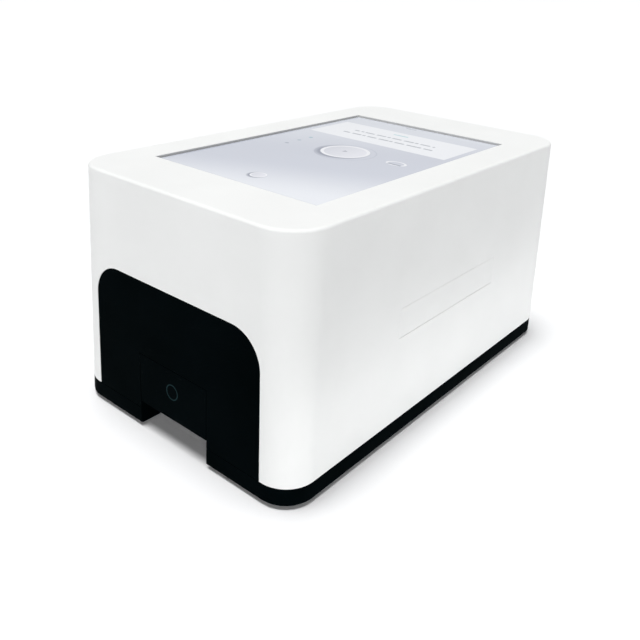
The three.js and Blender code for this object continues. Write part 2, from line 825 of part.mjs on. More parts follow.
// Motor, shaft and pulleys
const shaft_inner_x = belt_x - pulley_half_width - pulley_flange;
const shaft_depth = 10;
const shaft_length = motor_x + shaft_depth - shaft_inner_x;
const motor_pilot_depth = motor_screw.length - frame_wall;
const drive = group(0, drive_y, drive_z);
piece(
  "drive_motor",
  cut(
    box(motor_x, motor_end_x, -motor_half, motor_half, -motor_half, motor_half),
    bar("x", shaft_radius + fit_gap, motor_x - overrun, motor_x + shaft_depth + fit_gap),
    ...[-1, 1].map((side) => (
      bar(
        "x",
        motor_screw.radius + fit_gap,
        motor_x - overrun,
        motor_x + motor_pilot_depth,
        side * motor_screw_reach,
        motor_screw_rise,
      )
    )),
  ),
  "steel",
  drive,
);
piece("drive_shaft", bar("x", shaft_radius, shaft_inner_x, shaft_inner_x + shaft_length), "steel", drive);

function pulley(bore_radius) {
  const outer = pulley_half_width + pulley_flange;
  return cut(
    join(
      bar("x", pulley_radius, -pulley_half_width, pulley_half_width),
      bar("x", pulley_flange_radius, -outer, -pulley_half_width),
      bar("x", pulley_flange_radius, pulley_half_width, outer),
    ),
    bar("x", bore_radius + fit_gap, -outer - overrun, outer + overrun),
  );
}

piece("drive_pulley", pulley(shaft_radius), "aluminium", group(belt_x, drive_y, drive_z));
piece("idler_pulley", pulley(pin_radius), "aluminium", group(belt_x, idler_y, drive_z));

const pin_head_radius = 4;
const pin_head_x = belt_x - pulley_half_width - pulley_flange - fit_gap;
const pin_head_thickness = 1.2;
piece(
  "idler_pin",
  join(
    bar("x", pin_radius, pin_head_x - pin_head_thickness, frame_outer_x),
    bar("x", pin_head_radius, pin_head_x - pin_head_thickness, pin_head_x),
  ),
  "steel",
  group(0, idler_y, drive_z),
);

function beltOutline(radius) {
  const quarter = Math.PI / 2;
  const shape = new THREE.Shape();
  shape.absarc(drive_y, drive_z, radius, -quarter, quarter);
  shape.absarc(idler_y, drive_z, radius, quarter, 3 * quarter);
  return shape;
}

const belt_start_x = belt_x - belt_width / 2;
const belt_end_x = belt_x + belt_width / 2;
piece(
  "drive_belt",
  cut(
    run("x", beltOutline(belt_outer_radius), belt_start_x, belt_end_x),
    run("x", beltOutline(belt_inner_radius), belt_start_x - overrun, belt_end_x + overrun),
  ),
  "rubber",
);

// Main board on standoffs, with its chips and the display connector
const board_side_gap = 20;
const board_half_width = case_width / 2 - board_side_gap;
const board_thickness = 1.6;
const standoff_height = 8.3;
const standoff_radius = 3;
const board_hole_inset = 4.5;
const standoff_top_z = floor_z + standoff_height;
const board_bottom_z = standoff_top_z + fit_gap;
const board_top_z = board_bottom_z + board_thickness;
const board_screw = { radius: 1.25, head_radius: 2.5, head_height: 1.6, length: 6 };
const board_hole_xs = [-board_half_width + board_hole_inset, board_half_width - board_hole_inset];
const board_hole_ys = [board_front_y + board_hole_inset, board_back_y - board_hole_inset];
const board_holes = board_hole_xs.flatMap((x) => board_hole_ys.map((y) => [x, y]));
const chip_height = 1.8;
const memory_height = 1.2;
const processor_half = 12;
const processor_x = 14;
const processor_setback = 32;
const processor_y = board_front_y + processor_setback;
const memory_half = 6;
const memory_x = -14;
const coil_half = 6;
const coil_height = 6;
const coil_side_inset = 16;
const coil_setback = 44;
const coil_x = -board_half_width + coil_side_inset;
const coil_y = board_front_y + coil_setback;
const ribbon_half_width = 10;
const ribbon_thickness = 0.5;
const ribbon_setback = 12;
const ribbon_y = board_front_y + ribbon_setback;
const socket_wall = 2;
const socket_height = 4;
const socket_depth = 3;
const chip_places = [
  [processor_x, processor_y, processor_half, chip_height],
  [memory_x, processor_y, memory_half, memory_height],
  [coil_x, coil_y, coil_half, coil_height],
];
const chips = chip_places.map(([x, y, half, height]) => (
  box(x - half, x + half, y - half, y + half, board_bottom_z, board_top_z + height)
));
const ribbon_half_room = ribbon_thickness / 2 + fit_gap;
const ribbon_socket = cut(
  centred(
    ribbon_half_width + socket_wall,
    ribbon_y - ribbon_half_room - socket_wall,
    ribbon_y + ribbon_half_room + socket_wall,
    board_bottom_z,
    board_top_z + socket_height,
  ),
  centred(
    ribbon_half_width + fit_gap,
    ribbon_y - ribbon_half_room,
    ribbon_y + ribbon_half_room,
    board_top_z + socket_height - socket_depth,
    board_top_z + socket_height + overrun,
  ),
);
const bare_board = centred(board_half_width, board_front_y, board_back_y, board_bottom_z, board_top_z);
piece(
  "main_board",
  cut(
    join(bare_board, ...chips, ribbon_socket),
    ...board_holes.map(([x, y]) => (
      screwHole(board_screw, x, y, board_bottom_z - overrun, board_top_z + overrun)
    )),
  ),
  "board",
);

// Heat sink over the processor
const sink_half = 16;
const sink_base = 3;
const sink_height = 16;
const fin_count = 7;
const fin_thickness = 1.4;
const sink_bottom_z = board_top_z + chip_height + fit_gap;
const fin_pitch = (2 * sink_half - fin_thickness) / (fin_count - 1);
const sink_run = [processor_y - sink_half, processor_y + sink_half, sink_bottom_z];
const fins = Array.from({ length: fin_count }, (_, index) => {
  const x = processor_x - sink_half + index * fin_pitch;
  return box(x, x + fin_thickness, ...sink_run, sink_bottom_z + sink_height);
});
const sink_plate = centred(sink_half, ...sink_run, sink_bottom_z + sink_base, processor_x);
piece("heat_sink", join(sink_plate, ...fins), "aluminium");

// Screen pieces
const stepped_glass = join(
  onScreen(glass_half_x, glass_half_y, glass_bottom_z, glass_top_z),
  onScreen(opening_width / 2 - fit_gap, opening_length / 2 - fit_gap, glass_bottom_z, glass_face_z),
);
piece("cover_glass", stepped_glass, "glass");
piece(
  "glass_gasket",
  cut(
    onScreen(glass_half_x, glass_half_y, gasket_bottom_z, display_top_z),
    onScreen(
      display_half_x + fit_gap,
      display_half_y + fit_gap,
      gasket_bottom_z - overrun,
      display_top_z + overrun,
    ),
  ),
  "rubber",
);
piece("display_panel", onScreen(display_half_x, display_half_y, display_bottom_z, display_top_z), "screen");
const tab_outer_x = tab_boss_x + tab_boss_radius;
const tabs = tab_places.map(([, y]) => (
  centred(tab_outer_x, y - tab_half_length, y + tab_half_length, bracket_bottom_z, bracket_top_z)
));
const tab_holes = tab_places.map(([x, y]) => (
  screwHole(display_screw, x, y, bracket_bottom_z - overrun, bracket_top_z + overrun)
));
piece(
  "display_bracket",
  cut(
    join(
      onScreen(glass_half_x, glass_half_y, bracket_bottom_z, gasket_bottom_z - fit_gap),
      ...tabs,
    ),
    onScreen(display_half_x + fit_gap, display_half_y + fit_gap, bracket_top_z, glass_top_z),
    centred(
      ribbon_half_width + socket_wall,
      ribbon_y - ribbon_half_room - socket_wall,
      ribbon_y + ribbon_half_room + socket_wall,
      bracket_bottom_z - overrun,
      bracket_top_z + overrun,
    ),
    ...tab_holes,
  ),
  "aluminium",
);
const ribbon_low_z = board_top_z + socket_height - socket_depth + fit_gap;
piece(
  "display_cable",
  centred(
    ribbon_half_width,
    ribbon_y - ribbon_thickness / 2,
    ribbon_y + ribbon_thickness / 2,
    ribbon_low_z,
    display_bottom_z - fit_gap,
  ),
  "grey_plastic",
);

// Rear connections, each standing in its own cut-out of the rear panel
const connector_reach = 2;
const connector_face_y = rear_panel_face_y + connector_reach;
const connector_low_z = board_top_z + fit_gap;
const switch_place_share = -0.74;
const inlet_place_share = -0.28;
const usb_place_share = 0.16;
const jack_place_share = 0.64;

// The closed block of a connector, from its mouth back over the board
function connectorBlock(half_width, depth, height, x) {
  const low_z = connector_low_z;
  return centred(half_width, connector_face_y - depth, connector_face_y, low_z, low_z + height, x);
}

const inlet_half_width = 5;
const inlet_height = 11;
const inlet_depth = 14;
const inlet_x = inlet_place_share * rear_window_half_width;
const inlet_bore_radius = 3.2;
const inlet_bore_depth = 9;
const inlet_pin_radius = 1;
const inlet_axis_z = connector_low_z + inlet_height / 2;
const inlet_bore_y = connector_face_y - inlet_bore_depth;
piece(
  "dc_inlet",
  join(
    cut(
      connectorBlock(inlet_half_width, inlet_depth, inlet_height, inlet_x),
      bar("y", inlet_bore_radius, inlet_bore_y, connector_face_y + overrun, inlet_x, inlet_axis_z),
    ),
    bar("y", inlet_pin_radius, inlet_bore_y - overrun, connector_face_y - overrun, inlet_x, inlet_axis_z),
  ),
  "black_plastic",
);

const usb_half_width = 7.2;
const usb_height = 15.6;
const usb_depth = 17;
const usb_x = usb_place_share * rear_window_half_width;
const usb_wall = 0.8;
const usb_slot_height = 5.2;
const usb_slot_depth = 9;
const usb_tongue = 1.8;
const usb_level = (usb_height - usb_wall) / 2;
const usb_levels_z = [connector_low_z + usb_wall, connector_low_z + usb_wall + usb_level];
const usb_slots = usb_levels_z.map((z) => centred(
  usb_half_width - usb_wall,
  connector_face_y - usb_slot_depth,
  connector_face_y + overrun,
  z,
  z + usb_slot_height,
  usb_x,
));
const usb_tongues = usb_levels_z.map((z) => centred(
  usb_half_width - usb_wall - usb_wall,
  connector_face_y - usb_slot_depth - overrun,
  connector_face_y - usb_wall,
  z + usb_slot_height - usb_tongue,
  z + usb_slot_height - usb_wall,
  usb_x,
));
piece(
  "usb_ports",
  join(
    cut(
      connectorBlock(usb_half_width, usb_depth, usb_height, usb_x),
      ...usb_slots,
    ),
    ...usb_tongues,
  ),
  "steel",
);

const jack_half_width = 8;
const jack_height = 13.6;
const jack_depth = 20;
const jack_x = jack_place_share * rear_window_half_width;
const jack_socket_half_width = 5.9;
const jack_socket_low = 1.6;
const jack_socket_height = 8.4;
const jack_socket_depth = 13;
const jack_key_half_width = 3;
const jack_key_height = 1.8;
const jack_socket_z = connector_low_z + jack_socket_low;
const jack_socket_top_z = jack_socket_z + jack_socket_height;
const jack_socket_y = connector_face_y - jack_socket_depth;
piece(
  "network_jack",
  cut(
    connectorBlock(jack_half_width, jack_depth, jack_height, jack_x),
    centred(
      jack_socket_half_width,
      jack_socket_y,
      connector_face_y + overrun,
      jack_socket_z,
      jack_socket_top_z,
      jack_x,
    ),
    centred(
      jack_key_half_width,
      jack_socket_y,
      connector_face_y + overrun,
      jack_socket_top_z - overrun,
      jack_socket_top_z + jack_key_height,
      jack_x,
    ),
  ),
  "steel",
);

// Power switch: a housing with a bezel and a rocker that tilts on a cross axis
const switch_x = switch_place_share * rear_window_half_width;
const switch_rise = 28;
const switch_z = foot_height + switch_rise;
const bezel_half_width = 10.5;
const bezel_half_height = 7.5;
const bezel_thickness = 1.7;
const switch_half_width = 9.2;
const switch_half_height = 6.4;
const switch_depth = 14;
const rocker_half_width = 8.2;
const rocker_radius = 5.4;
const rocker_proud = 3.5;
const rocker_sink = 0.5;
const rocker_off_deg = 10;
const bezel_back_y = rear_panel_face_y + fit_gap;
const bezel_front_y = bezel_back_y + bezel_thickness;
const rocker_axis_y = bezel_front_y - rocker_proud + rocker_sink;
const well_radius = rocker_radius + fit_gap;
piece(
  "power_switch_housing",
  cut(
    join(
      centred(bezel_half_width, bezel_back_y, bezel_front_y, -bezel_half_height, bezel_half_height),
      centred(
        switch_half_width,
        bezel_back_y - switch_depth,
        bezel_front_y,
        -switch_half_height,
        switch_half_height,
      ),
    ),
    bar("x", well_radius, -rocker_half_width - fit_gap, rocker_half_width + fit_gap, rocker_axis_y, 0),
    centred(rocker_half_width + fit_gap, rocker_axis_y, bezel_front_y + overrun, -well_radius, well_radius),
  ),
  "black_plastic",
  group(switch_x, 0, switch_z),
);
const rocker_body = bar("x", rocker_radius, -rocker_half_width, rocker_half_width).intersect(
  centred(rocker_half_width + overrun, -rocker_radius - overrun, rocker_proud, -rocker_radius, rocker_radius),
);
const rocker = piece("power_rocker", rocker_body, "black_plastic", group(switch_x, rocker_axis_y, switch_z));
rocker.rotation.x = THREE.MathUtils.degToRad(rocker_off_deg);

// Rear panel
function panelCutout(x, half_width, z0, z1) {
  const through = [rear_panel_back_y - overrun, rear_panel_face_y + overrun];
  return centred(half_width + fit_gap, ...through, z0 - fit_gap, z1 + fit_gap, x);
}

const rear_rim = inner(lip_inset, foot_height, top_z)
  .intersect(rearWindow(rear_panel_border, rear_panel_back_y, rear_end_y))
  .intersect(slab(plinth_top_z + fit_gap, top_z));
const bay_cut = rearWindow(-seam_gap, rear_panel_face_y, rear_end_y);
piece(
  "rear_panel",
  cut(
    rear_rim,
    bay_cut,
    panelCutout(inlet_x, inlet_half_width, connector_low_z, connector_low_z + inlet_height),
    panelCutout(usb_x, usb_half_width, connector_low_z, connector_low_z + usb_height),
    panelCutout(jack_x, jack_half_width, connector_low_z, connector_low_z + jack_height),
    panelCutout(switch_x, switch_half_width, switch_z - switch_half_height, switch_z + switch_half_height),
  ),
  "black_plastic",
);

// Base tray
const base_plinth = case_block.intersect(slab(foot_height - overrun, plinth_top_z));
const base_lip = inner(lip_inset, foot_height + plinth_chamfer, lip_top_z);
const base_room = inner(lip_inset + lip_wall, floor_z, lip_top_z + overrun);
const panel_keep = 0.6;
const front_keep_half = window_half_width + panel_flange + panel_keep;
const keep_front_y = front_y + panel_thickness + lip_wall + overrun;
const front_keep = centred(
  front_keep_half,
  front_start_y,
  keep_front_y,
  plinth_top_z,
  lip_top_z + overrun,
);
const rear_keep_half = rear_window_half_width + rear_panel_border + panel_keep;
const keep_rear_y = rear_panel_back_y - panel_keep;
const rear_keep = centred(rear_keep_half, keep_rear_y, rear_end_y, plinth_top_z, lip_top_z + overrun);
const notch_outer = notch_width / 2 + notch_wall;
const notch_box_front_y = -halfDepthAt(plinth_top_z) + panel_thickness + fit_gap;
const notch_walls = join(
  centred(notch_outer, front_y + wall, notch_back_y + notch_wall, foot_height, plinth_top_z),
  centred(notch_outer, notch_box_front_y, notch_back_y + notch_wall, foot_height, notch_top_z),
);
const notch_hole = centred(
  notch_width / 2,
  front_start_y,
  notch_back_y,
  foot_height - overrun,
  notch_top_z + overrun,
);
const post_seats = post_places.map(([x, y]) => (
  bar("z", post_radius, foot_height + overrun, floor_z + post_seat_height, x, y)
));
const post_screw_holes = post_places.map(([x, y]) => join(
  screwHole(case_screw, x, y, foot_height - overrun, floor_z + post_seat_height + overrun),
  bar("z", case_screw.head_radius + fit_gap, foot_height - overrun, case_screw_seat_z + fit_gap, x, y),
));
const foot_beds = Object.values(foot_places).map(([x, y]) => (
  bar("z", foot_radius + fit_gap, foot_height - overrun, foot_height + foot_bed, x, y)
));
const peg_places = [
  ...[-1, 1].flatMap((side) => rail_screw_ys.map((y) => [side * rail_screw_x, y])),
  ...frame_screw_places,
  [-catch_screw_x, catch_screw_y],
  [catch_screw_x, catch_screw_y],
];
const pegs = peg_places.map(([x, y]) => screw(floor_peg, x, y, flange_seat_z + fit_gap, 1));
const standoffs = board_holes.map(([x, y]) => (
  bar("z", standoff_radius, foot_height + overrun, standoff_top_z, x, y)
));
const standoff_pilots = board_holes.map(([x, y]) => (
  screwHole(board_screw, x, y, board_top_z - board_screw.length - fit_gap, board_top_z)
));
const vent_count = 9;
const vent_width = 3;
const vent_length = 40;
const vent_pitch = 8;
const vent_y = (board_front_y + board_back_y) / 2;
const vents = Array.from({ length: vent_count }, (_, index) => {
  const x = (index - (vent_count - 1) / 2) * vent_pitch;
  const ends = [vent_y - vent_length / 2, vent_y + vent_length / 2];
  return centred(vent_width / 2, ...ends, foot_height - overrun, floor_z + overrun, x);
});
piece(
  "base_tray",
  cut(
    join(
      cut(join(base_plinth, base_lip), base_room, front_keep, rear_keep),
      notch_walls,
      ...post_seats,
      ...standoffs,
      ...pegs,
    ),
    notch_hole,
    ...post_screw_holes,
    ...standoff_pilots,
    ...foot_beds,
    ...vents,
  ),
  "black_plastic",
);

// Screws, named by where they sit
const sides = ["left", "right"];
const ends = ["front", "rear"];
const thirds = ["front", "middle", "rear"];

function nameAt(x, y, rows, first_y, last_y) {
  const row = Math.round((y - first_y) / (last_y - first_y) * (rows.length - 1));
  return `${rows[row]}_${sides[x < 0 ? 0 : 1]}`;
}

for (const [x, y] of post_places) {
  const name = `case_screw_${nameAt(x, y, ends, -post_y, post_y)}`;
  piece(name, screw(case_screw, 0, 0, 0, -1), "steel", group(x, y, case_screw_seat_z));
}
for (const [x, y] of board_holes) {
  const name = `board_screw_${nameAt(x, y, ends, board_hole_ys[0], board_hole_ys[1])}`;
  piece(name, screw(board_screw, 0, 0, 0, 1), "steel", group(x, y, board_top_z + fit_gap));
}
for (const [x, y] of tab_places) {
  const name = `display_screw_${nameAt(x, y, thirds, tab_places[0][1], tab_places.at(-1)[1])}`;
  piece(name, screw(display_screw, 0, 0, 0, -1), "steel", group(x, y, bracket_bottom_z - fit_gap));
}
for (const [index, [y, z]] of motor_screw_places.entries()) {
  const seat_x = frame_inner_x - fit_gap;
  const body = join(
    bar("x", motor_screw.head_radius, -motor_screw.head_height, 0),
    bar("x", motor_screw.radius, -overrun, motor_screw.length - fit_gap),
  );
  piece(`motor_screw_${ends[index]}`, body, "steel", group(seat_x, y, z));
}

export default reader;
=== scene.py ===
import math

import bmesh
import bpy
from mathutils import Matrix, Vector


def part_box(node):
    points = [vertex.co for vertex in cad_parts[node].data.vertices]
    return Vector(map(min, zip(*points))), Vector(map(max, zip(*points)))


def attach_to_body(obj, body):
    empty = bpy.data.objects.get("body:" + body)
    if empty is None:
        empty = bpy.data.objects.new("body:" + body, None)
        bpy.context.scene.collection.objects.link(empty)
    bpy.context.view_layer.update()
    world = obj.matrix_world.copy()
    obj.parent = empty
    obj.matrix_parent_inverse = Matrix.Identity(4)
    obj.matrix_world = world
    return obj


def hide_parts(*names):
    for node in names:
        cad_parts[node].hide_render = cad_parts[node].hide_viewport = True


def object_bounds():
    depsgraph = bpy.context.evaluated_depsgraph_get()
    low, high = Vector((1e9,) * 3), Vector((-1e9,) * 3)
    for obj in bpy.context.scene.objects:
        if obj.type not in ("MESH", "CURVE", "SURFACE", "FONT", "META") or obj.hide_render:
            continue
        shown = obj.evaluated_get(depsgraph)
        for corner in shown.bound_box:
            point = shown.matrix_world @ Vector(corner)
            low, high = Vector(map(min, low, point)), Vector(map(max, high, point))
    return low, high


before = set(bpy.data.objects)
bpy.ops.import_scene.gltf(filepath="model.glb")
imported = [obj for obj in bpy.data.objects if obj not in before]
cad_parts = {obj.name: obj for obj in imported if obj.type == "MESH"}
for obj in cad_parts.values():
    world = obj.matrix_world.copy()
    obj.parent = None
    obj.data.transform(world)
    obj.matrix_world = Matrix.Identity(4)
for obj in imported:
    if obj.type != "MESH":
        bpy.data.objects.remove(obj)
cad_low, cad_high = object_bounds()
MM = 0.001

# Camera
# A long lens held a little above the reader's right front corner, with the frame slid down slightly
# so that the upright edges stay as they are seen on the bench.
camera_place = Vector((237.142, -313.497, 226.533)) * MM
camera_right = Vector((0.76715929, 0.63982396, 0.04573756))
camera_up = Vector((-0.2999125, 0.29474252, 0.90729231))
camera_back = camera_right.cross(camera_up)
camera_data = bpy.data.cameras.new("camera")
camera_data.lens = 39.9
camera_data.sensor_width = 36
camera_data.shift_y = -0.05
camera_data.clip_start = 0.01
camera_data.clip_end = 50


def placed(name, data):
    """A new object in the scene."""
    thing = bpy.data.objects.new(name, data)
    bpy.context.scene.collection.objects.link(thing)
    return thing


camera = placed("camera", camera_data)
camera.matrix_world = Matrix.Translation(camera_place) @ Matrix(
    (camera_right, camera_up, camera_back)
).transposed().to_4x4()
bpy.context.scene.camera = camera

# Studio
# A white room with a pale floor: a wide soft light almost straight above, a soft key light over the right
# front corner, and a low strip at the right, so the top is brightest and the side grows lighter downwards.


class Wire:
    """One socket in a tree of nodes: sums and products of wires add Math nodes."""

    def __init__(self, tree, socket=None):
        self.tree = tree
        self.socket = socket

    def node(self, kind, settings=None, sockets=None, output=0):
        made = self.tree.nodes.new(kind)
        for name, value in (settings or {}).items():
            setattr(made, name, value)
        for name, value in (sockets or {}).items():
            if isinstance(value, Wire):
                self.tree.links.new(value.socket, made.inputs[name])
            else:
                made.inputs[name].default_value = value
        return Wire(self.tree, made.outputs[output])

    def maths(self, operation, *values):
        return self.node("ShaderNodeMath", {"operation": operation}, dict(enumerate(values)))

    def __add__(self, other):
        return self.maths("ADD", self, other)

    __radd__ = __add__

    def __sub__(self, other):
        return self.maths("SUBTRACT", self, other)

    def __rsub__(self, other):
        return self.maths("SUBTRACT", other, self)

    def __mul__(self, other):
        return self.maths("MULTIPLY", self, other)

    __rmul__ = __mul__

    def __truediv__(self, other):
        return self.maths("DIVIDE", self, other)

    def __abs__(self):
        return self.maths("ABSOLUTE", self)

    def root(self):
        return self.maths("SQRT", self)

    def sine(self):
        return self.maths("SINE", self)

    def fraction(self):
        return self.maths("FRACT", self)

    def above(self, other):
        """The greater of two values."""
        return self.maths("MAXIMUM", self, other)

    def vector(self, x=0.0, y=0.0, z=0.0):
        return self.node("ShaderNodeCombineXYZ", sockets={0: x, 1: y, 2: z})

    def step(self, low, high, at_low=0.0, at_high=1.0):
        """This value eased from at_low to at_high between two of its own values."""
        sockets = {"Value": self, "From Min": low, "From Max": high, "To Min": at_low, "To Max": at_high}
        return self.node("ShaderNodeMapRange", {"interpolation_type": "SMOOTHSTEP"}, sockets)

    def tint(self, low, high):
        """A colour between two colours, with this value as the share of the second."""
        return self.node("ShaderNodeMix", {"data_type": "RGBA"}, {0: self, 6: low, 7: high}, output=2)


def attach(wire, shader, socket):
    wire.tree.links.new(wire.socket, shader.inputs[socket])


bpy.context.scene.view_settings.view_transform = "Standard"
world = bpy.data.worlds.new("studio")
world.use_nodes = True
bpy.context.scene.world = world
ambient = world.node_tree.nodes["Background"]
ambient.inputs["Color"].default_value = (0.98, 0.99, 1.0, 1)
room_light = 0.03
room_in_gloss = 0.5
room_behind = 0.96
wire = Wire(world.node_tree)
in_gloss = wire.node("ShaderNodeLightPath", output="Is Glossy Ray")
behind = wire.node("ShaderNodeLightPath", output="Is Camera Ray")
strength = room_light + in_gloss * (room_in_gloss - room_light) + behind * (room_behind - room_light)
attach(strength, ambient, "Strength")


def studio_light(name, kind, place, aim, power, **settings):
    """A light that shines from one point towards another, and isn't itself seen or mirrored."""
    light_data = bpy.data.lights.new(name, kind)
    light_data.energy = power
    for setting, value in settings.items():
        setattr(light_data, setting, value)
    light = placed(name, light_data)
    light.location = place
    light.rotation_euler = (Vector(aim) - Vector(place)).to_track_quat("-Z", "Y").to_euler()
    light.visible_camera = False
    light.visible_glossy = False
    light.visible_transmission = False


studio_light("overhead", "SUN", (-0.1, -0.1, 1.5), (0, 0, 0), 2.95, angle=math.radians(30))
studio_light("key", "SUN", (0.85, -1.05, 0.6), (0, 0, 0), 1.05, angle=math.radians(30))
studio_light("low_right", "AREA", (0.6, 0, 0.02), (0.08, 0, 0.02), 0.031,
             shape="RECTANGLE", size=0.6, size_y=0.06, spread=math.radians(14))

floor_reach = 14
floor_mesh = bpy.data.meshes.new("floor")
floor_corners = [(a * floor_reach, b * floor_reach, 0) for a, b in ((-1, -1), (1, -1), (1, 1), (-1, 1))]
floor_mesh.from_pydata(floor_corners, [], [(0, 1, 2, 3)])
floor = placed("floor", floor_mesh)


def srgb(red, green, blue):
    """A colour given as it is seen on a screen, 0 to 255, as the shader wants it."""
    shares = [channel / 255 for channel in (red, green, blue)]
    return tuple(s / 12.92 if s < 0.04045 else ((s + 0.055) / 1.055) ** 2.4 for s in shares) + (1,)


def finish(name, colour, roughness, **constants):
    """A new material: its shader with constant sockets set, and a wire to start its pattern from."""
    material = bpy.data.materials.new(name)
    material.use_nodes = True
    shader = material.node_tree.nodes["Principled BSDF"]
    shader.inputs["Base Color"].default_value = colour
    shader.inputs["Roughness"].default_value = roughness
    for socket, value in constants.items():
        shader.inputs[socket.replace("_", " ")].default_value = value
    return material, shader, Wire(material.node_tree)


def place_on(wire):
    """The point in the object's own frame, in metres."""
    return wire.node("ShaderNodeTexCoord", output=3)


def noise(wire, scale, detail=3.0, roughness=0.5):
    sockets = {"Vector": place_on(wire), "Scale": scale, "Detail": detail, "Roughness": roughness}
    return wire.node("ShaderNodeTexNoise", sockets=sockets)


def bump(wire, height, strength, distance):
    return wire.node("ShaderNodeBump", sockets={"Height": height, "Strength": strength, "Distance": distance})


floor_finish, floor_shader, floor_wire = finish("studio_paper", srgb(250, 251, 252), 0.9)
paper_tone = noise(floor_wire, 1.5).tint(srgb(248, 249, 250), srgb(252, 252, 253))
attach(paper_tone, floor_shader, "Base Color")
floor_mesh.materials.append(floor_finish)

# Base tray
# The black plinth that everything is screwed to: one injection moulding with a lip inside the shell,
# the finger notch, vent slots, standoffs and posts. Its skin is spark-textured and slightly uneven in gloss.


def moulded(name, dark, light, roughness, grain=2600, relief=0.00002, **constants):
    """A moulded plastic: faint cloudy tone, a fine spark-eroded skin and slightly uneven gloss."""
    material, shader, wire = finish(name, dark, roughness, **constants)
    attach(noise(wire, 24, detail=4).step(0.3, 0.7).tint(dark, light), shader, "Base Color")
    attach(noise(wire, 90).step(0.25, 0.75, roughness - 0.03, roughness + 0.04), shader, "Roughness")
    attach(bump(wire, noise(wire, grain, detail=2), 0.35, relief), shader, "Normal")
    return material


def polished(name, mesh, bevel, segments=3, corner_deg=32, ease=None):
    """A new object from a mesh, with its sharp edges rounded and its flat faces kept flat in the light.

    Where ease is given, it says what share of the rounding the sharp edge at a point gets.
    """
    piece = placed(name, mesh)
    mesh.shade_smooth()
    mesh.set_sharp_from_angle(angle=math.radians(corner_deg))
    if bevel:
        rounding = piece.modifiers.new("edges", "BEVEL")
        rounding.width = bevel
        rounding.segments = segments
        rounding.limit_method = "ANGLE"
        rounding.angle_limit = math.radians(corner_deg)
        rounding.use_clamp_overlap = True
        if ease:
            weights = mesh.attributes.new("bevel_weight_edge", "FLOAT", "EDGE")
            for edge in mesh.edges:
                if edge.use_edge_sharp:
                    ends = [mesh.vertices[v].co for v in edge.vertices]
                    weights.data[edge.index].value = ease((ends[0] + ends[1]) / 2)
            rounding.limit_method = "WEIGHT"
        rounding.miter_outer = "MITER_ARC"
    weights = piece.modifiers.new("light", "WEIGHTED_NORMAL")
    weights.keep_sharp = True
    return settled(piece)


def settled(piece):
    """The piece with its modifiers worked into its own mesh."""
    bpy.context.view_layer.update()
    result = bpy.data.meshes.new_from_object(piece.evaluated_get(bpy.context.evaluated_depsgraph_get()))
    piece.modifiers.clear()
    piece.data = result
    return piece


def mesh_of(shape, name):
    """A new mesh from an edited shape, which is then freed."""
    mesh = bpy.data.meshes.new(name)
    shape.to_mesh(mesh)
    shape.free()
    return mesh


def merged_copy(node):
    """A copy of a CAD node's mesh with its loose triangles welded and its flat faces made whole."""
    shape = bmesh.new()
    shape.from_mesh(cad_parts[node].data)
    bmesh.ops.remove_doubles(shape, verts=shape.verts, dist=2e-6)
    bmesh.ops.dissolve_limit(shape, angle_limit=math.radians(0.4), verts=shape.verts, edges=shape.edges)
    mesh = mesh_of(shape, node)
    mesh.materials.clear()
    return mesh


def dress(piece, body, slot, nodes, *materials):
    """Gives a finished piece its materials and its body, and hides the nodes that it stands for. Its slot is
    not used.
    """
    if materials:
        piece.data.materials.clear()
        for material in materials:
            piece.data.materials.append(material)
    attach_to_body(piece, body)
    if nodes:
        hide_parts(*nodes)
    return piece


def refined(node, body, slot, material, bevel=0.25 * MM, segments=2, corner_deg=32):
    piece = polished(f"{node}_piece", merged_copy(node), bevel, segments, corner_deg)
    return dress(piece, body, slot, [node], material)


black_abs = moulded("black_abs", srgb(1, 5, 6), srgb(3, 8, 10), 0.5, IOR=1.03)
refined("base_tray", "case", "case_black", black_abs)

# Feet
# Four round rubber buttons, pressed into shallow seats in the base and held by adhesive. They are
# moulded with a rounded rim and a shallow ring underneath that keeps them from sliding.


def turned(name, profile, centre, axis="Z", steps=48, rounding_deg=35):
    """A turned piece: pairs of radius and place along the axis, swept round one full turn.

    The profile runs from axis to axis, or closes on itself where the piece has a bore.
    """
    shape = bmesh.new()
    ends = []
    rings = []
    for radius, along in profile:
        if radius < 1e-9:
            ends.append((len(rings), shape.verts.new((0, 0, along))))
            rings.append(None)
            continue
        angles = [2 * math.pi * k / steps for k in range(steps)]
        rings.append([shape.verts.new((radius * math.cos(a), radius * math.sin(a), along)) for a in angles])
    for low, high in zip(rings, rings[1:] if ends else rings[1:] + rings[:1]):
        for k in range(steps):
            n = (k + 1) % steps
            if low and high:
                shape.faces.new((low[k], low[n], high[n], high[k]))
    for index, point in ends:
        ring = rings[index + 1] if index == 0 else rings[index - 1]
        for k in range(steps):
            shape.faces.new((point, ring[k], ring[(k + 1) % steps]))
    bmesh.ops.recalc_face_normals(shape, faces=shape.faces)
    turn = {"X": Matrix.Rotation(math.pi / 2, 4, "Y"), "Y": Matrix.Rotation(-math.pi / 2, 4, "X"),
            "Z": Matrix.Identity(4)}[axis]
    bmesh.ops.transform(shape, matrix=Matrix.Translation(centre) @ turn, verts=shape.verts)
    return polished(name, mesh_of(shape, name), 0, corner_deg=rounding_deg)


def middle(node):
    low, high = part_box(node)
    return (low + high) / 2


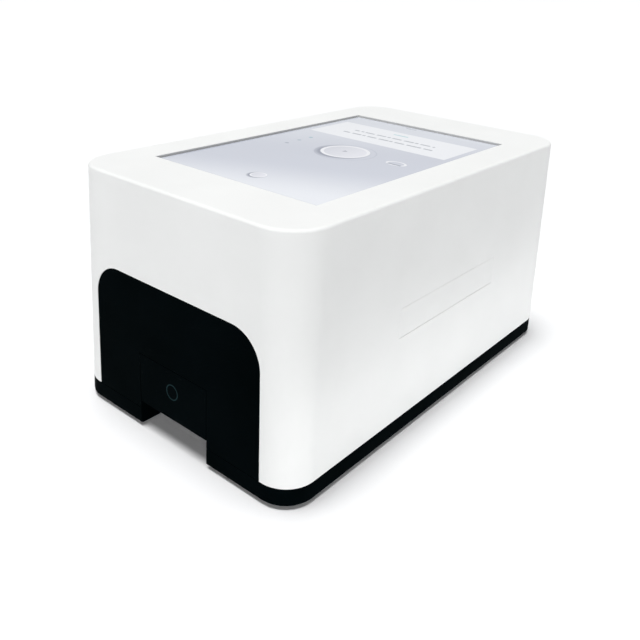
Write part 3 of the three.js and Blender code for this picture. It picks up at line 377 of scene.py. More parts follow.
rubber = moulded("foot_rubber", srgb(26, 27, 28), srgb(34, 35, 36), 0.78, grain=1400, Specular_IOR_Level=0.25)
foot_radius = 7 * MM
foot_rim = 0.6 * MM
ring_radius = 4.5 * MM
ring_half = 0.5 * MM
ring_depth = 0.35 * MM
foot_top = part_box("foot_front_left")[1].z
foot_profile = [(0, 0), (ring_radius - ring_half, 0), (ring_radius - ring_half / 2, ring_depth),
                (ring_radius + ring_half / 2, ring_depth), (ring_radius + ring_half, 0)]
foot_profile += [(foot_radius - foot_rim * (1 - math.sin(a)), foot_rim * (1 - math.cos(a)))
                 for a in (k * math.pi / 8 for k in range(5))]
foot_profile += [(foot_radius, foot_top - foot_rim / 2), (foot_radius - foot_rim / 2, foot_top),
                 (0, foot_top)]
for node in ("foot_front_left", "foot_front_right", "foot_rear_left", "foot_rear_right"):
    foot_place = (middle(node).x, middle(node).y, 0)
    dress(turned(f"{node}_button", foot_profile, foot_place), "case", "rubber", [node], rubber)

# Outer shell
# The white cover, one moulding in satin ABS with two degrees of draft and rounded edges, and openings for
# the screen, the front panel, the side cover and the rear bay. Posts and bosses inside take the screws.
case_half_width = 74 * MM
case_half_depth = 125 * MM
case_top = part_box("outer_shell")[1].z
case_height = 130 * MM
corner_top = 20 * MM
corner_bottom = 16.5 * MM
top_edge = 1.4 * MM
wall = 2.5 * MM
case_slope = math.tan(math.radians(2))
overrun = 1 * MM
corner_steps = 20


def leaning(half_at_top, z):
    """Half of the case's width or depth at a height."""
    return half_at_top + (case_top - z) * case_slope


def case_ring(z, inset):
    """The case's outline at a height, moved inwards."""
    radius = corner_top + (corner_bottom - corner_top) * (case_top - z) / case_height - inset
    reach_x = leaning(case_half_width, z) - inset - radius
    reach_y = leaning(case_half_depth, z) - inset - radius
    ring = []
    for corner, (side_x, side_y) in enumerate(((1, 1), (-1, 1), (-1, -1), (1, -1))):
        for k in range(corner_steps + 1):
            angle = (corner + k / corner_steps) * math.pi / 2
            ring.append((side_x * reach_x + radius * math.cos(angle),
                         side_y * reach_y + radius * math.sin(angle), z))
    return ring


def lofted(rings):
    """A closed mesh through rings of as many points each, listed from one end to the other."""
    shape = bmesh.new()
    loops = [[shape.verts.new(point) for point in ring] for ring in rings]
    for low, high in zip(loops, loops[1:]):
        for k in range(len(low)):
            n = (k + 1) % len(low)
            shape.faces.new((low[k], low[n], high[n], high[k]))
    shape.faces.new(loops[0][::-1])
    shape.faces.new(loops[-1])
    bmesh.ops.recalc_face_normals(shape, faces=shape.faces)
    return mesh_of(shape, "loft")


def block(low, high):
    (x0, y0, z0), (x1, y1, z1) = low, high
    return lofted([[(x0, y0, z), (x1, y0, z), (x1, y1, z), (x0, y1, z)] for z in (z0, z1)])


def joined(*meshes):
    """Several closed meshes that don't touch, as one."""
    shape = bmesh.new()
    for mesh in meshes:
        shape.from_mesh(mesh)
    return mesh_of(shape, "joined")


def worked(mesh, operation, tool_mesh):
    """One mesh joined with, cut by or limited to another."""
    body = placed("body", mesh)
    tool = placed("tool", tool_mesh)
    change = body.modifiers.new("work", "BOOLEAN")
    change.operation = operation
    change.solver = "EXACT"
    change.object = tool
    result = settled(body).data
    bpy.data.objects.remove(body)
    bpy.data.objects.remove(tool)
    return result


def case_solid(levels):
    return lofted([case_ring(z, inset) for z, inset in levels])


def bar(axis, a, b, radius, start, end, steps=32):
    """A round bar along the x or the z axis, with the other two coordinates given in their own order."""
    angles = [k * math.tau / steps for k in range(steps)]
    ring = [(a + radius * math.cos(angle), b + radius * math.sin(angle)) for angle in angles]
    if axis == "X":
        return lofted([[(along, p, q) for p, q in ring] for along in (start, end)])
    return lofted([[(p, q, along) for p, q in ring] for along in (start, end)])


window_half_width = 60.2 * MM
window_top = 84 * MM
window_radius = 18 * MM
plinth_top = 11.3 * MM
shell_bottom = plinth_top + 0.3 * MM


def window_prism(y0, y1):
    """The front window's outline, run from front to back: leaning sides and two round upper corners."""
    lean = math.atan(case_slope)
    centre_z = window_top - window_radius
    edge_x = window_half_width - (centre_z - plinth_top) * case_slope
    centre_x = edge_x - window_radius / math.cos(lean)
    low_x = edge_x + centre_z * case_slope
    outline = [(low_x, 0)]
    arc_steps = 24
    for side, start in ((1, lean), (-1, math.pi / 2)):
        for k in range(arc_steps + 1):
            angle = start + (math.pi / 2 - lean) * k / arc_steps
            outline.append((side * centre_x + window_radius * math.cos(angle),
                            centre_z + window_radius * math.sin(angle)))
    outline.append((-low_x, 0))
    return lofted([[(x, y, z) for x, z in outline] for y in (y1, y0)])


round_levels = [(case_top - top_edge * (1 - math.sin(a)), top_edge * (1 - math.cos(a)))
                for a in (k * math.pi / 16 for k in range(9))]
shell_mesh = case_solid([(shell_bottom, 0), *round_levels])
shell_mesh = worked(shell_mesh, "DIFFERENCE", case_solid([(-overrun, wall), (case_top - wall, wall)]))

roof_z = case_top - wall
post_xs = [middle(f"case_screw_front_{side}").x for side in ("left", "right")]
post_ys = [middle(f"case_screw_{end}_left").y for end in ("front", "rear")]
post_radius = 4.5 * MM
post_bottom = 8.3 * MM
pilot_radius = 1.8 * MM
pilot_top = 22.5 * MM
tab_places = [middle(f"display_screw_{row}_{side}") for row in ("front", "middle", "rear")
              for side in ("left", "right")]
tab_radius = 3.2 * MM
tab_thickness = 1.8 * MM
tab_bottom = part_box("display_bracket")[0].z + tab_thickness
shell_mesh = worked(shell_mesh, "UNION", joined(
    *(bar("Z", x, y, post_radius, post_bottom, roof_z + overrun) for x in post_xs for y in post_ys),
    *(bar("Z", p.x, p.y, tab_radius, tab_bottom, roof_z + overrun) for p in tab_places),
))

opening_half_x = 54.1 * MM
opening_y = (-89.6 * MM, 83.6 * MM)
rear_window_half = 50 * MM
rear_window_top = 46 * MM
rear_window_radius = 6 * MM
rear_window_bottom = 2 * MM
rear_face_y = 124 * MM
front_cut = 6 * MM
cover_half_length = 48 * MM
cover_z = (59.5 * MM, 75.8 * MM)
cover_seat_x = 68 * MM


def rounded_rectangle(a0, a1, b0, b1, radius, steps=10):
    points = []
    for corner, (a, b) in enumerate(((a1, b0), (a1, b1), (a0, b1), (a0, b0))):
        side_a = 1 if a == a1 else -1
        side_b = 1 if b == b1 else -1
        for k in range(steps + 1):
            angle = (corner - 1 + k / steps) * math.pi / 2
            points.append((a - side_a * radius + radius * math.cos(angle),
                           b - side_b * radius + radius * math.sin(angle)))
    return points


rear_outline = rounded_rectangle(-rear_window_half, rear_window_half, rear_window_bottom, rear_window_top,
                                 rear_window_radius)
shell_mesh = worked(shell_mesh, "DIFFERENCE", joined(
    block((-opening_half_x, opening_y[0], roof_z - overrun),
          (opening_half_x, opening_y[1], case_top + overrun)),
    window_prism(cad_low.y - overrun, front_cut - leaning(case_half_depth, window_top)),
    lofted([[(x, y, z) for x, z in rear_outline] for y in (cad_high.y + overrun, rear_face_y)]),
    block((cover_seat_x, -cover_half_length, cover_z[0]),
          (cad_high.x + overrun, cover_half_length, cover_z[1])),
    *(bar("Z", x, y, pilot_radius, post_bottom - overrun, pilot_top) for x in post_xs for y in post_ys),
))
white_abs = moulded("white_abs", srgb(243, 244, 243), srgb(246, 247, 246), 0.4, grain=2200, relief=0.000015)


hair = 0.1 * MM
opening_rounding = 0.9 * MM


def shell_rounding(point):
    """The screen opening has a soft edge, the side cover's a crisp one, and the lower edge stays sharp."""
    if point.z < shell_bottom + hair / 2:
        return 0
    if point.z > case_top - hair / 2:
        return 1
    at_cover = point.x > cover_seat_x and abs(point.y) < cover_half_length + hair
    return 0.08 if at_cover and cover_z[0] - hair < point.z < cover_z[1] + hair else 0.34


shell = polished("outer_shell_cover", shell_mesh, opening_rounding, ease=shell_rounding)
dress(shell, "case", "shell_white", ["outer_shell"], white_abs)

# Side cover
# A flush service cover on the right side in the shell's own plastic, set in from inside with its flange
# behind the wall. The seam along its lower edge is slightly wider.
cover_depth = 4.8 * MM
rim_depth = wall + 0.3 * MM
rim_reach = 3 * MM
seam = 0.12 * MM
grip_gap = 0.18 * MM


def skin(outer, inner, low, high):
    """The part of the case's skin between two depths that lies in a box."""
    solid = case_solid([(shell_bottom, outer), (case_top - top_edge - outer, outer)])
    hollow = case_solid([(-overrun, inner), (case_top - overrun - outer, inner)])
    return worked(worked(solid, "DIFFERENCE", hollow), "INTERSECT", block(low, high))


skin_x = 60 * MM
cover_plate = skin(0, cover_depth, (skin_x, seam - cover_half_length, cover_z[0] + grip_gap),
                   (cad_high.x + overrun, cover_half_length - seam, cover_z[1] - seam))
cover_rim = skin(rim_depth, cover_depth, (skin_x, -cover_half_length - rim_reach, cover_z[0] - rim_reach),
                 (cad_high.x + overrun, cover_half_length + rim_reach, cover_z[1] + rim_reach))
side_cover = polished("side_cover_piece", worked(cover_plate, "UNION", cover_rim), 0.08 * MM, segments=2)
dress(side_cover, "case", "shell_white", ["side_cover"], white_abs)

# Front panel
# A black moulded panel, flush in the shell's front window and held behind its edge by a flange. The
# drawer runs through its aperture.
refined("front_panel", "case", "case_black", black_abs)

# Drawer
# The moulded black front carries a thin printed ring. Behind it the glass-filled nylon sled has the
# sample pocket, and a nickel-plated steel striker for the catch.


def in_mm(wire):
    """The point's three coordinates in the object's own frame, in millimetres."""
    return [wire.node("ShaderNodeSeparateXYZ", sockets={0: place_on(wire)}, output=k) * 1000
            for k in range(3)]


def band(value, centre, half, soft=0.12):
    """1 where a value lies within half of the centre, easing to 0."""
    return abs(value - centre).step(half, half + soft, 1.0, 0.0)


def span(a, b):
    return (a * a + b * b).root()


def printed(material, name, ink, mask_of):
    """The same finish with a mark printed on it, where mask_of gives the ink's share at x, y, z."""
    marked = material.copy()
    marked.name = name
    shader = marked.node_tree.nodes["Principled BSDF"]
    wire = Wire(marked.node_tree)
    under = Wire(marked.node_tree, shader.inputs["Base Color"].links[0].from_socket)
    attach(mask_of(*in_mm(wire)).tint(under, ink), shader, "Base Color")
    return marked


ring_height = 31.6
ring_reach = 4.0
ring_line = 0.5
face_y = -126.9


def ring_mark(x, y, z):
    """A thin ring, on the drawer's outer face alone."""
    return band(span(x, z - ring_height), ring_reach, ring_line / 2) * y.step(face_y - 0.3, face_y, 1.0, 0.0)


ring_black = printed(black_abs, "ring_marked_black", srgb(32, 50, 53), ring_mark)
refined("drawer_front", "drawer", "case_black", ring_black)
nylon = moulded("glass_filled_nylon", srgb(22, 24, 26), srgb(32, 34, 36), 0.55, grain=1500, relief=0.00004)
refined("cassette_tray", "drawer", "tray_black", nylon)


def metal(name, dark, light, roughness, stretch=(900, 900, 900), **constants):
    """A machined or plated metal: fine streaks along one way in its tone, gloss and relief."""
    material, shader, wire = finish(name, dark, roughness, Metallic=1.0, **constants)
    along = wire.node("ShaderNodeVectorMath", {"operation": "MULTIPLY"}, {0: place_on(wire), 1: stretch})
    streaks = wire.node("ShaderNodeTexNoise", sockets={"Vector": along, "Scale": 1.0, "Detail": 3.0})
    attach(streaks.step(0.3, 0.7).tint(dark, light), shader, "Base Color")
    attach(streaks.step(0.3, 0.7, roughness - 0.05, roughness + 0.08), shader, "Roughness")
    attach(bump(wire, streaks, 0.2, 0.00002), shader, "Normal")
    return material


nickel = metal("nickel_plate", srgb(186, 184, 178), srgb(206, 204, 198), 0.24, (300, 300, 2400))
refined("striker_plate", "drawer", "steel", nickel, bevel=0.15 * MM)

# Drawer rails
# Two grey acetal channels that the sled's tongues slide in. Each stands on a leg and a sole, and its
# sole is held by pegs of the base whose heads are formed over with heat.
acetal = moulded("rail_acetal", srgb(98, 102, 105), srgb(110, 114, 117), 0.36, grain=1800)
for side in ("left", "right"):
    refined(f"drawer_rail_{side}", "case", "rail_grey", acetal)

# Drawer catch
# A nickel-plated block magnet, glued in an acetal bracket behind the closed drawer. Two pegs of the base
# pass through the bracket's feet, and their heads are formed over with heat.
refined("catch_magnet", "case", "steel", nickel, bevel=0.35 * MM, segments=3)
refined("catch_bracket", "case", "rail_grey", acetal)

# Optics frame
# A bridge of aluminium over the rails, machined from one block and anodised black against stray light:
# two side walls with light windows, two cross plates for the rods, and feet on the base.
black_anodised = metal("black_anodised", srgb(30, 31, 33), srgb(42, 43, 45), 0.42, (700, 1600, 700))
refined("optics_frame", "case", "tray_black", black_anodised, bevel=0.3 * MM)

# Guide rods
# Two hardened and ground steel rods, chamfered at both ends and pressed into the cross plates. The scan
# head's carriage slides on them.
ground_steel = metal("ground_steel", srgb(168, 170, 172), srgb(196, 198, 200), 0.16, (2600, 60, 2600))
rod_chamfer = 0.4 * MM


def chamfered(radius, length, chamfer):
    """The profile of a round bar with both ends chamfered."""
    return [(0, 0), (radius - chamfer, 0), (radius, chamfer), (radius, length - chamfer),
            (radius - chamfer, length), (0, length)]


def turned_node(node, body, slot, material, profile, start, **ways):
    """A turned piece in the place of a node, with its profile's first end at a point."""
    return dress(turned(f"{node}_piece", profile, start, **ways), body, slot, [node], material)


for node in ("guide_rod_left", "guide_rod_right"):
    low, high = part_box(node)
    rod_start = (middle(node).x, low.y, middle(node).z)
    rod_profile = chamfered((high.x - low.x) / 2, high.y - low.y, rod_chamfer)
    turned_node(node, "case", "steel", ground_steel, rod_profile, rod_start, axis="Y")

# Scan head
# The moulded carriage slides on the rods and is clamped to the belt's lower run. It carries a camera
# board with its sensor housing, a turned lens barrel with a glass front lens, and a board with four lamps.


def split(piece, material, inside):
    """Gives the faces whose corners all pass a test their own material."""
    piece.data.materials.append(material)
    for face in piece.data.polygons:
        if all(inside(piece.data.vertices[corner].co) for corner in face.vertices):
            face.material_index = len(piece.data.materials) - 1
    return piece


def circuit(name, dark, light, track):
    """A circuit board: solder resist over fine tracks that run one way or the other from patch to patch."""
    material, shader, wire = finish(name, dark, 0.3, Coat_Roughness=0.15)
    x, y, _ = in_mm(wire)
    patches = {"Vector": place_on(wire), "Scale": 160.0}
    pick = wire.node("ShaderNodeTexVoronoi", sockets=patches, output=0).step(0.35, 0.38)
    tracks_per_mm = 0.9
    across = abs((x * tracks_per_mm).fraction() - 0.5)
    along = abs((y * tracks_per_mm).fraction() - 0.5)
    lane = pick * across + (1 - pick) * along
    ground = noise(wire, 60).step(0.3, 0.7).tint(dark, light)
    attach(lane.step(0.1, 0.16, 1.0, 0.0).tint(ground, track), shader, "Base Color")
    attach(lane.step(0.1, 0.16, 0.24, 0.34), shader, "Roughness")
    attach(bump(wire, lane.step(0.1, 0.16, 1.0, 0.0), 0.3, 0.00003), shader, "Normal")
    return material


refined("scan_carriage", "scan_head", "tray_black", nylon)
board_green = circuit("board_green", srgb(18, 62, 40), srgb(24, 74, 48), srgb(44, 104, 66))
sensor_black = moulded("sensor_black", srgb(18, 19, 20), srgb(26, 27, 28), 0.4, grain=3000)
board_thickness = 1.6 * MM
camera_board_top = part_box("camera_module")[0].z + board_thickness
camera_piece = refined("camera_module", "scan_head", "board", board_green, bevel=0.1 * MM)
split(camera_piece, sensor_black, lambda point: point.z > camera_board_top + hair)

low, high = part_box("lens_barrel")
barrel_radius = (high.x - low.x) / 2
barrel_length = high.z - low.z
barrel_bore = 4 * MM
lens_seat = 5.8 * MM
seat_depth = 2.3 * MM
grip_start = 3 * MM
grip_pitch = 0.5 * MM
groove = 0.25 * MM
edge = 0.3 * MM
grip = [(barrel_radius - (groove if k % 2 else 0), grip_start + k * grip_pitch) for k in range(15)]
barrel_profile = [(lens_seat, 0), (barrel_radius - edge, 0), (barrel_radius, edge), *grip,
                  (barrel_radius, barrel_length - edge), (barrel_radius - edge, barrel_length),
                  (barrel_bore, barrel_length), (barrel_bore, seat_depth), (lens_seat, seat_depth)]
lens_start = (middle("lens_barrel").x, middle("lens_barrel").y, low.z)
turned_node("lens_barrel", "scan_head", "tray_black", black_anodised, barrel_profile, lens_start,
            steps=64, rounding_deg=25)


def clear_glass(name, tint, light_tint, roughness, **constants):
    """Clear glass with a trace of tint and faint uneven gloss."""
    material, shader, wire = finish(name, tint, roughness, Transmission_Weight=1.0, IOR=1.5, **constants)
    attach(noise(wire, 40).step(0.3, 0.7).tint(tint, light_tint), shader, "Base Color")
    attach(noise(wire, 70).step(0.35, 0.75, roughness, roughness + 0.01), shader, "Roughness")
    return material


lens_glass = clear_glass("coated_lens", srgb(206, 214, 244), srgb(224, 216, 246), 0.02)
low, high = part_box("front_lens")
lens_radius = (high.x - low.x) / 2
lens_length = high.z - low.z
lens_bulge = 0.6 * MM
lens_shares = [k / 8 for k in range(9)]
lens_profile = [(lens_radius * s, lens_bulge * s * s) for s in lens_shares]
lens_profile += [(lens_radius * s, lens_length - lens_bulge * s * s) for s in lens_shares[::-1]]
turned_node("front_lens", "scan_head", "lens_glass", lens_glass, lens_profile, lens_start,
            steps=64, rounding_deg=50)

lamp_height = 0.9 * MM
lamp_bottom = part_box("lamp_board")[0].z
board_white = circuit("board_white", srgb(214, 216, 214), srgb(226, 228, 226), srgb(196, 200, 198))
phosphor = moulded("lamp_phosphor", srgb(226, 196, 70), srgb(238, 214, 96), 0.3, grain=1200)
lamp_piece = refined("lamp_board", "scan_head", "board", board_white, bevel=0.08 * MM)
split(lamp_piece, phosphor, lambda point: point.z < lamp_bottom + lamp_height)

# Drive motor
# A small stepper: two cast end caps round a stack of thin steel laminations, bored for its shaft and
# bolted to the frame's wall.


def cut_square(x, centre, half, chamfer):
    """A square outline with cut corners across the motor's axis."""
    reach = half - chamfer
    turns = ((half, -reach), (half, reach), (reach, half), (-reach, half),
             (-half, reach), (-half, -reach), (-reach, -half), (reach, -half))
    return [(x, centre.y + a, centre.z + b) for a, b in turns]


low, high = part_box("drive_motor")
motor_centre = middle("drive_motor")
motor_half = (high.y - low.y) / 2
cap_depth = 4 * MM
cap_round = 0.5 * MM
stack_inset = 0.4 * MM
sheet_pitch = 0.5 * MM
sheet_groove = 0.12 * MM
corner_cut = 4 * MM
cap_levels = [(low.x, cap_round), (low.x + cap_round, 0), (low.x + cap_depth, 0)]
sheet_count = int((high.x - low.x - 2 * cap_depth) / sheet_pitch)
for k in range(sheet_count + 1):
    x = low.x + cap_depth + k * sheet_pitch
    cap_levels += [(x, stack_inset + sheet_groove), (x + sheet_pitch / 2, stack_inset)]
cap_levels = [level for level in cap_levels if level[0] < high.x - cap_depth]
cap_levels += [(high.x - cap_depth, stack_inset), (high.x - cap_depth, 0), (high.x - cap_round, 0),
               (high.x, cap_round)]
motor_mesh = lofted([cut_square(x, motor_centre, motor_half - inset, corner_cut) for x, inset in cap_levels])
shaft_low, shaft_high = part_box("drive_shaft")
shaft_radius = (shaft_high.z - shaft_low.z) / 2
shaft_y = middle("drive_shaft").y
shaft_z = middle("drive_shaft").z
clearance = 0.3 * MM
bolt_radius = 2 * MM
bolt_depth = 1.2 * MM
bolt_inset = 4.6 * MM
thread_radius = 1.35 * MM
bolt_spots = [(motor_centre.y + a * (motor_half - bolt_inset), motor_centre.z + b * (motor_half - bolt_inset))
              for a in (-1, 1) for b in (-1, 1)]
screw_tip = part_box("motor_screw_front")[1].x
motor_screws = [middle(f"motor_screw_{end}") for end in ("front", "rear")]
motor_mesh = worked(motor_mesh, "DIFFERENCE", joined(
    bar("X", shaft_y, shaft_z, shaft_radius + clearance, low.x - overrun, shaft_high.x + clearance + hair),
    *(bar("X", y, z, bolt_radius, high.x - bolt_depth, high.x + overrun) for y, z in bolt_spots),
    *(bar("X", p.y, p.z, thread_radius, low.x - overrun, screw_tip + clearance) for p in motor_screws),
))
cast_cap = metal("cast_motor_cap", srgb(176, 178, 180), srgb(192, 194, 196), 0.36)
lamination = metal("lamination_steel", srgb(58, 60, 64), srgb(82, 84, 88), 0.4, (3000, 300, 300))
motor_piece = polished("drive_motor_piece", motor_mesh, 0)
dress(motor_piece, "case", "steel", ["drive_motor"], cast_cap)
split(motor_piece, lamination, lambda point: (
    low.x + cap_depth - sheet_groove < point.x < high.x - cap_depth + sheet_groove
    and max(abs(point.y - motor_centre.y), abs(point.z - motor_centre.z)) > 0.6 * motor_half))

# Belt drive
# A ground shaft and two turned aluminium pulleys with cut teeth, a headed steel pin for the idler, and
# a toothed rubber belt. The teeth are laid out along each one's own path.


def growth(name, **inputs):
    """An empty Geometry Nodes tree with named inputs for its sizes, and wires from them."""
    tree = bpy.data.node_groups.new(name, "GeometryNodeTree")
    kinds = {"Geometry": "NodeSocketGeometry", **inputs}
    for label, kind in kinds.items():
        tree.interface.new_socket(label, in_out="INPUT", socket_type=kind)
    tree.interface.new_socket("Geometry", in_out="OUTPUT", socket_type="NodeSocketGeometry")
    entry = tree.nodes.new("NodeGroupInput")
    return tree, {label: Wire(tree, entry.outputs[label]) for label in kinds}


def ripened(tree, geometry, material):
    """Ends a tree: its instances made real and given their material."""
    wire = Wire(tree)
    real = wire.node("GeometryNodeRealizeInstances", sockets={0: geometry})
    last = wire.node("GeometryNodeSetMaterial", sockets={"Geometry": real, "Material": material})
    leave = tree.nodes.new("NodeGroupOutput")
    tree.links.new(last.socket, leave.inputs[0])


def grown(mesh, tree, **values):
    """The plain mesh that a tree grows from a mesh, with the values of its inputs."""
    bed = placed("bed", mesh)
    modifier = bed.modifiers.new("growth", "NODES")
    modifier.node_group = tree
    for item in tree.interface.items_tree:
        if item.in_out == "INPUT" and item.name in values:
            modifier[item.identifier] = values[item.name]
    result = settled(bed).data
    bpy.data.objects.remove(bed)
    return result


def points_mesh(points):
    mesh = bpy.data.meshes.new("points")
    mesh.from_pydata([tuple(point) for point in points], [], [])
    return mesh


number = "NodeSocketFloat"
whole = "NodeSocketInt"
cut_aluminium = metal("cut_aluminium", srgb(186, 188, 190), srgb(204, 206, 208), 0.28, (1800, 200, 200))
belt_rubber = moulded("belt_rubber", srgb(20, 20, 21), srgb(28, 28, 29), 0.7, grain=900, relief=0.00005)
tooth_tree, given = growth("toothed_path", run=number, radius=number, teeth=whole, tooth_width=number,
                           tooth_depth=number, face_width=number, finish="NodeSocketMaterial")
wire = Wire(tooth_tree)
path = wire.node("GeometryNodeCurvePrimitiveQuadrilateral",
                 sockets={"Width": given["run"] + given["radius"] * 2.0, "Height": given["radius"] * 2.0})
nearly_whole = 0.9999
path = wire.node("GeometryNodeFilletCurve", {"mode": "POLY"},
                 {"Curve": path, "Count": 24, "Radius": given["radius"] * nearly_whole})
path = wire.node("GeometryNodeResampleCurve", sockets={"Curve": path, "Count": given["teeth"]})
tangent = wire.node("GeometryNodeInputTangent")
turn = wire.node("FunctionNodeAlignRotationToVector", {"axis": "X"}, {"Vector": tangent})
tooth_size = wire.vector(given["tooth_width"], given["tooth_depth"], given["face_width"])
tooth = wire.node("GeometryNodeMeshCube", sockets={"Size": tooth_size})
teeth = wire.node("GeometryNodeInstanceOnPoints", sockets={
    "Points": path, "Instance": tooth, "Rotation": turn})
ripened(tooth_tree, teeth, given["finish"])


tooth_width = 1.1 * MM
on_edge = Matrix(((0, 0, 1, 0), (1, 0, 0, 0), (0, 1, 0, 0), (0, 0, 0, 1)))


def toothing(run, radius, teeth, depth, face, centre, material):
    """Teeth along a loop across the x axis, centred on a point."""
    mesh = grown(points_mesh([(0, 0, 0)]), tooth_tree, run=run, radius=radius, teeth=teeth,
                 tooth_width=tooth_width, tooth_depth=depth, face_width=face, finish=material)
    mesh.transform(Matrix.Translation(centre) @ on_edge)
    return mesh


pulley_half = 3.5 * MM
flange = 0.7 * MM
flange_edge = 0.2 * MM
flange_radius = 8.2 * MM
drum_radius = 5.4 * MM
pulley_teeth = 18
belt_teeth = 96
tooth_depth = 0.6 * MM
for name, bore in (("drive_pulley", 2.55 * MM), ("idler_pulley", 2.2 * MM)):
    side = [(bore, pulley_half), (flange_radius - flange_edge, pulley_half),
            (flange_radius, pulley_half - flange_edge), (flange_radius, pulley_half - flange + flange_edge),
            (flange_radius - flange_edge, pulley_half - flange), (drum_radius, pulley_half - flange)]
    pulley_profile = [(r, -a) for r, a in side] + [(r, a) for r, a in side[::-1]]
    pulley = turned(f"{name}_piece", pulley_profile, middle(name), axis="X", steps=64, rounding_deg=25)
    teeth_mesh = toothing(0, drum_radius + tooth_depth / 2, pulley_teeth, tooth_depth,
                          2 * (pulley_half - flange), middle(name), cut_aluminium)
    pulley_mesh = joined(pulley.data, teeth_mesh)
    dress(polished(f"{name}_toothed", pulley_mesh, 0), name, "aluminium", [name], cut_aluminium)
    bpy.data.objects.remove(pulley)

shaft_chamfer = 0.3 * MM
shaft_profile = chamfered(shaft_radius, shaft_high.x - shaft_low.x, shaft_chamfer)
shaft_start = (shaft_low.x, shaft_y, shaft_z)
turned_node("drive_shaft", "drive_pulley", "steel", ground_steel, shaft_profile, shaft_start, axis="X")

low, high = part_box("idler_pin")
pin_length = high.x - low.x
head_depth = 1.2 * MM
head_radius = 4 * MM
pin_radius = 2 * MM
pin_profile = [(0, 0), (head_radius - edge, 0), (head_radius, edge), (head_radius, head_depth - edge / 2),
               (head_radius - edge / 2, head_depth), (pin_radius, head_depth),
               (pin_radius, pin_length - edge), (pin_radius - edge, pin_length), (0, pin_length)]
pin_start = (low.x, middle("idler_pin").y, middle("idler_pin").z)
turned_node("idler_pin", "case", "steel", ground_steel, pin_profile, pin_start, axis="X")

low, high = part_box("drive_belt")
belt_centre = middle("drive_belt")
belt_thickness = 1.2 * MM
belt_outer = (high.z - low.z) / 2
belt_inner = belt_outer - belt_thickness
belt_run = high.y - low.y - 2 * belt_outer


def belt_ring(x, radius, steps=32):
    """The belt's path at a place across its width: two straight runs and two half turns."""
    ring = []
    for end_side, start in ((1, -math.pi / 2), (-1, math.pi / 2)):
        for k in range(steps + 1):
            angle = start + math.pi * k / steps
            ring.append((x, belt_centre.y + end_side * belt_run / 2 + radius * math.cos(angle),
                         belt_centre.z + radius * math.sin(angle)))
    return ring


belt_mesh = worked(lofted([belt_ring(x, belt_outer) for x in (low.x, high.x)]), "DIFFERENCE",
                   lofted([belt_ring(x, belt_inner) for x in (low.x - overrun, high.x + overrun)]))
belt_tooth_depth = 0.24 * MM
belt_toothing = toothing(belt_run, belt_inner - 0.4 * belt_tooth_depth, belt_teeth, belt_tooth_depth,
                         high.x - low.x - edge, belt_centre, belt_rubber)
belt = polished("drive_belt_toothed", joined(belt_mesh, belt_toothing), 0)
dress(belt, "case", "rubber", ["drive_belt"], belt_rubber)

# Main board
# A green circuit board on four standoffs, with the processor, memory, a power coil and the ribbon's
# socket, and small parts soldered in loose groups round them.
chip_black = moulded("chip_black", srgb(28, 29, 31), srgb(38, 39, 41), 0.46, grain=2600)
board_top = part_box("main_board")[0].z + board_thickness
board_piece = refined("main_board", "case", "board", board_green, bevel=0.12 * MM)
split(board_piece, chip_black, lambda point: point.z > board_top + hair)

parts_tree, given = growth("soldered_parts", spacing=number, density=number, seed=whole,
                           part_length=number, part_width=number, part_height=number,
                           finish="NodeSocketMaterial")
wire = Wire(parts_tree)
spots = wire.node("GeometryNodeDistributePointsOnFaces", {"distribute_method": "POISSON"}, {
    "Mesh": given["Geometry"], "Distance Min": given["spacing"], "Density Max": given["density"],
    "Seed": given["seed"]})
quarter = wire.node("FunctionNodeRandomValue", {"data_type": "INT"},
                    {"Min": 0, "Max": 1, "Seed": given["seed"]}, output=2)
quarter_turn = wire.vector(z=quarter * (math.pi / 2))
swell = wire.node("FunctionNodeRandomValue", {"data_type": "FLOAT"},
                  {2: 0.6, 3: 1.0, "Seed": given["seed"]}, output=1)
part_size = wire.vector(given["part_length"], given["part_width"], given["part_height"])
part = wire.node("GeometryNodeMeshCube", sockets={"Size": part_size})
lift = wire.vector(z=given["part_height"] * 0.5)
part = wire.node("GeometryNodeTransform", sockets={"Geometry": part, "Translation": lift})
soldered = wire.node("GeometryNodeInstanceOnPoints", sockets={
    "Points": spots, "Instance": part, "Rotation": quarter_turn, "Scale": swell})
ripened(parts_tree, soldered, given["finish"])

part_finish, part_shader, wire = finish("soldered_part", srgb(120, 96, 70), 0.4)
part_tone = noise(wire, 220, detail=0).step(0.46, 0.54)
attach(part_tone.tint(srgb(46, 42, 40), srgb(168, 138, 102)), part_shader, "Base Color")
attach(noise(wire, 500).step(0.3, 0.7, 0.32, 0.5), part_shader, "Roughness")
clear_patches = [(-50, -24, 46, 76), (-50, -24, 92, 102), (-4, 30, 42.5, 49), (34, 52, 50, 100)]
patch_mesh = bpy.data.meshes.new("patches")
patch_corners = [(x * MM, y * MM, board_top) for a, b, c, d in clear_patches
                 for x, y in ((a, c), (b, c), (b, d), (a, d))]
patch_faces = [tuple(range(4 * k, 4 * k + 4)) for k in range(len(clear_patches))]
patch_mesh.from_pydata(patch_corners, [], patch_faces)
parts_mesh = grown(patch_mesh, parts_tree, spacing=3.4 * MM, density=60000.0, seed=7, part_length=2 * MM,
                   part_width=1.2 * MM, part_height=0.8 * MM, finish=part_finish)
dress(polished("soldered_parts", parts_mesh, 0), "case", "board", [], part_finish)

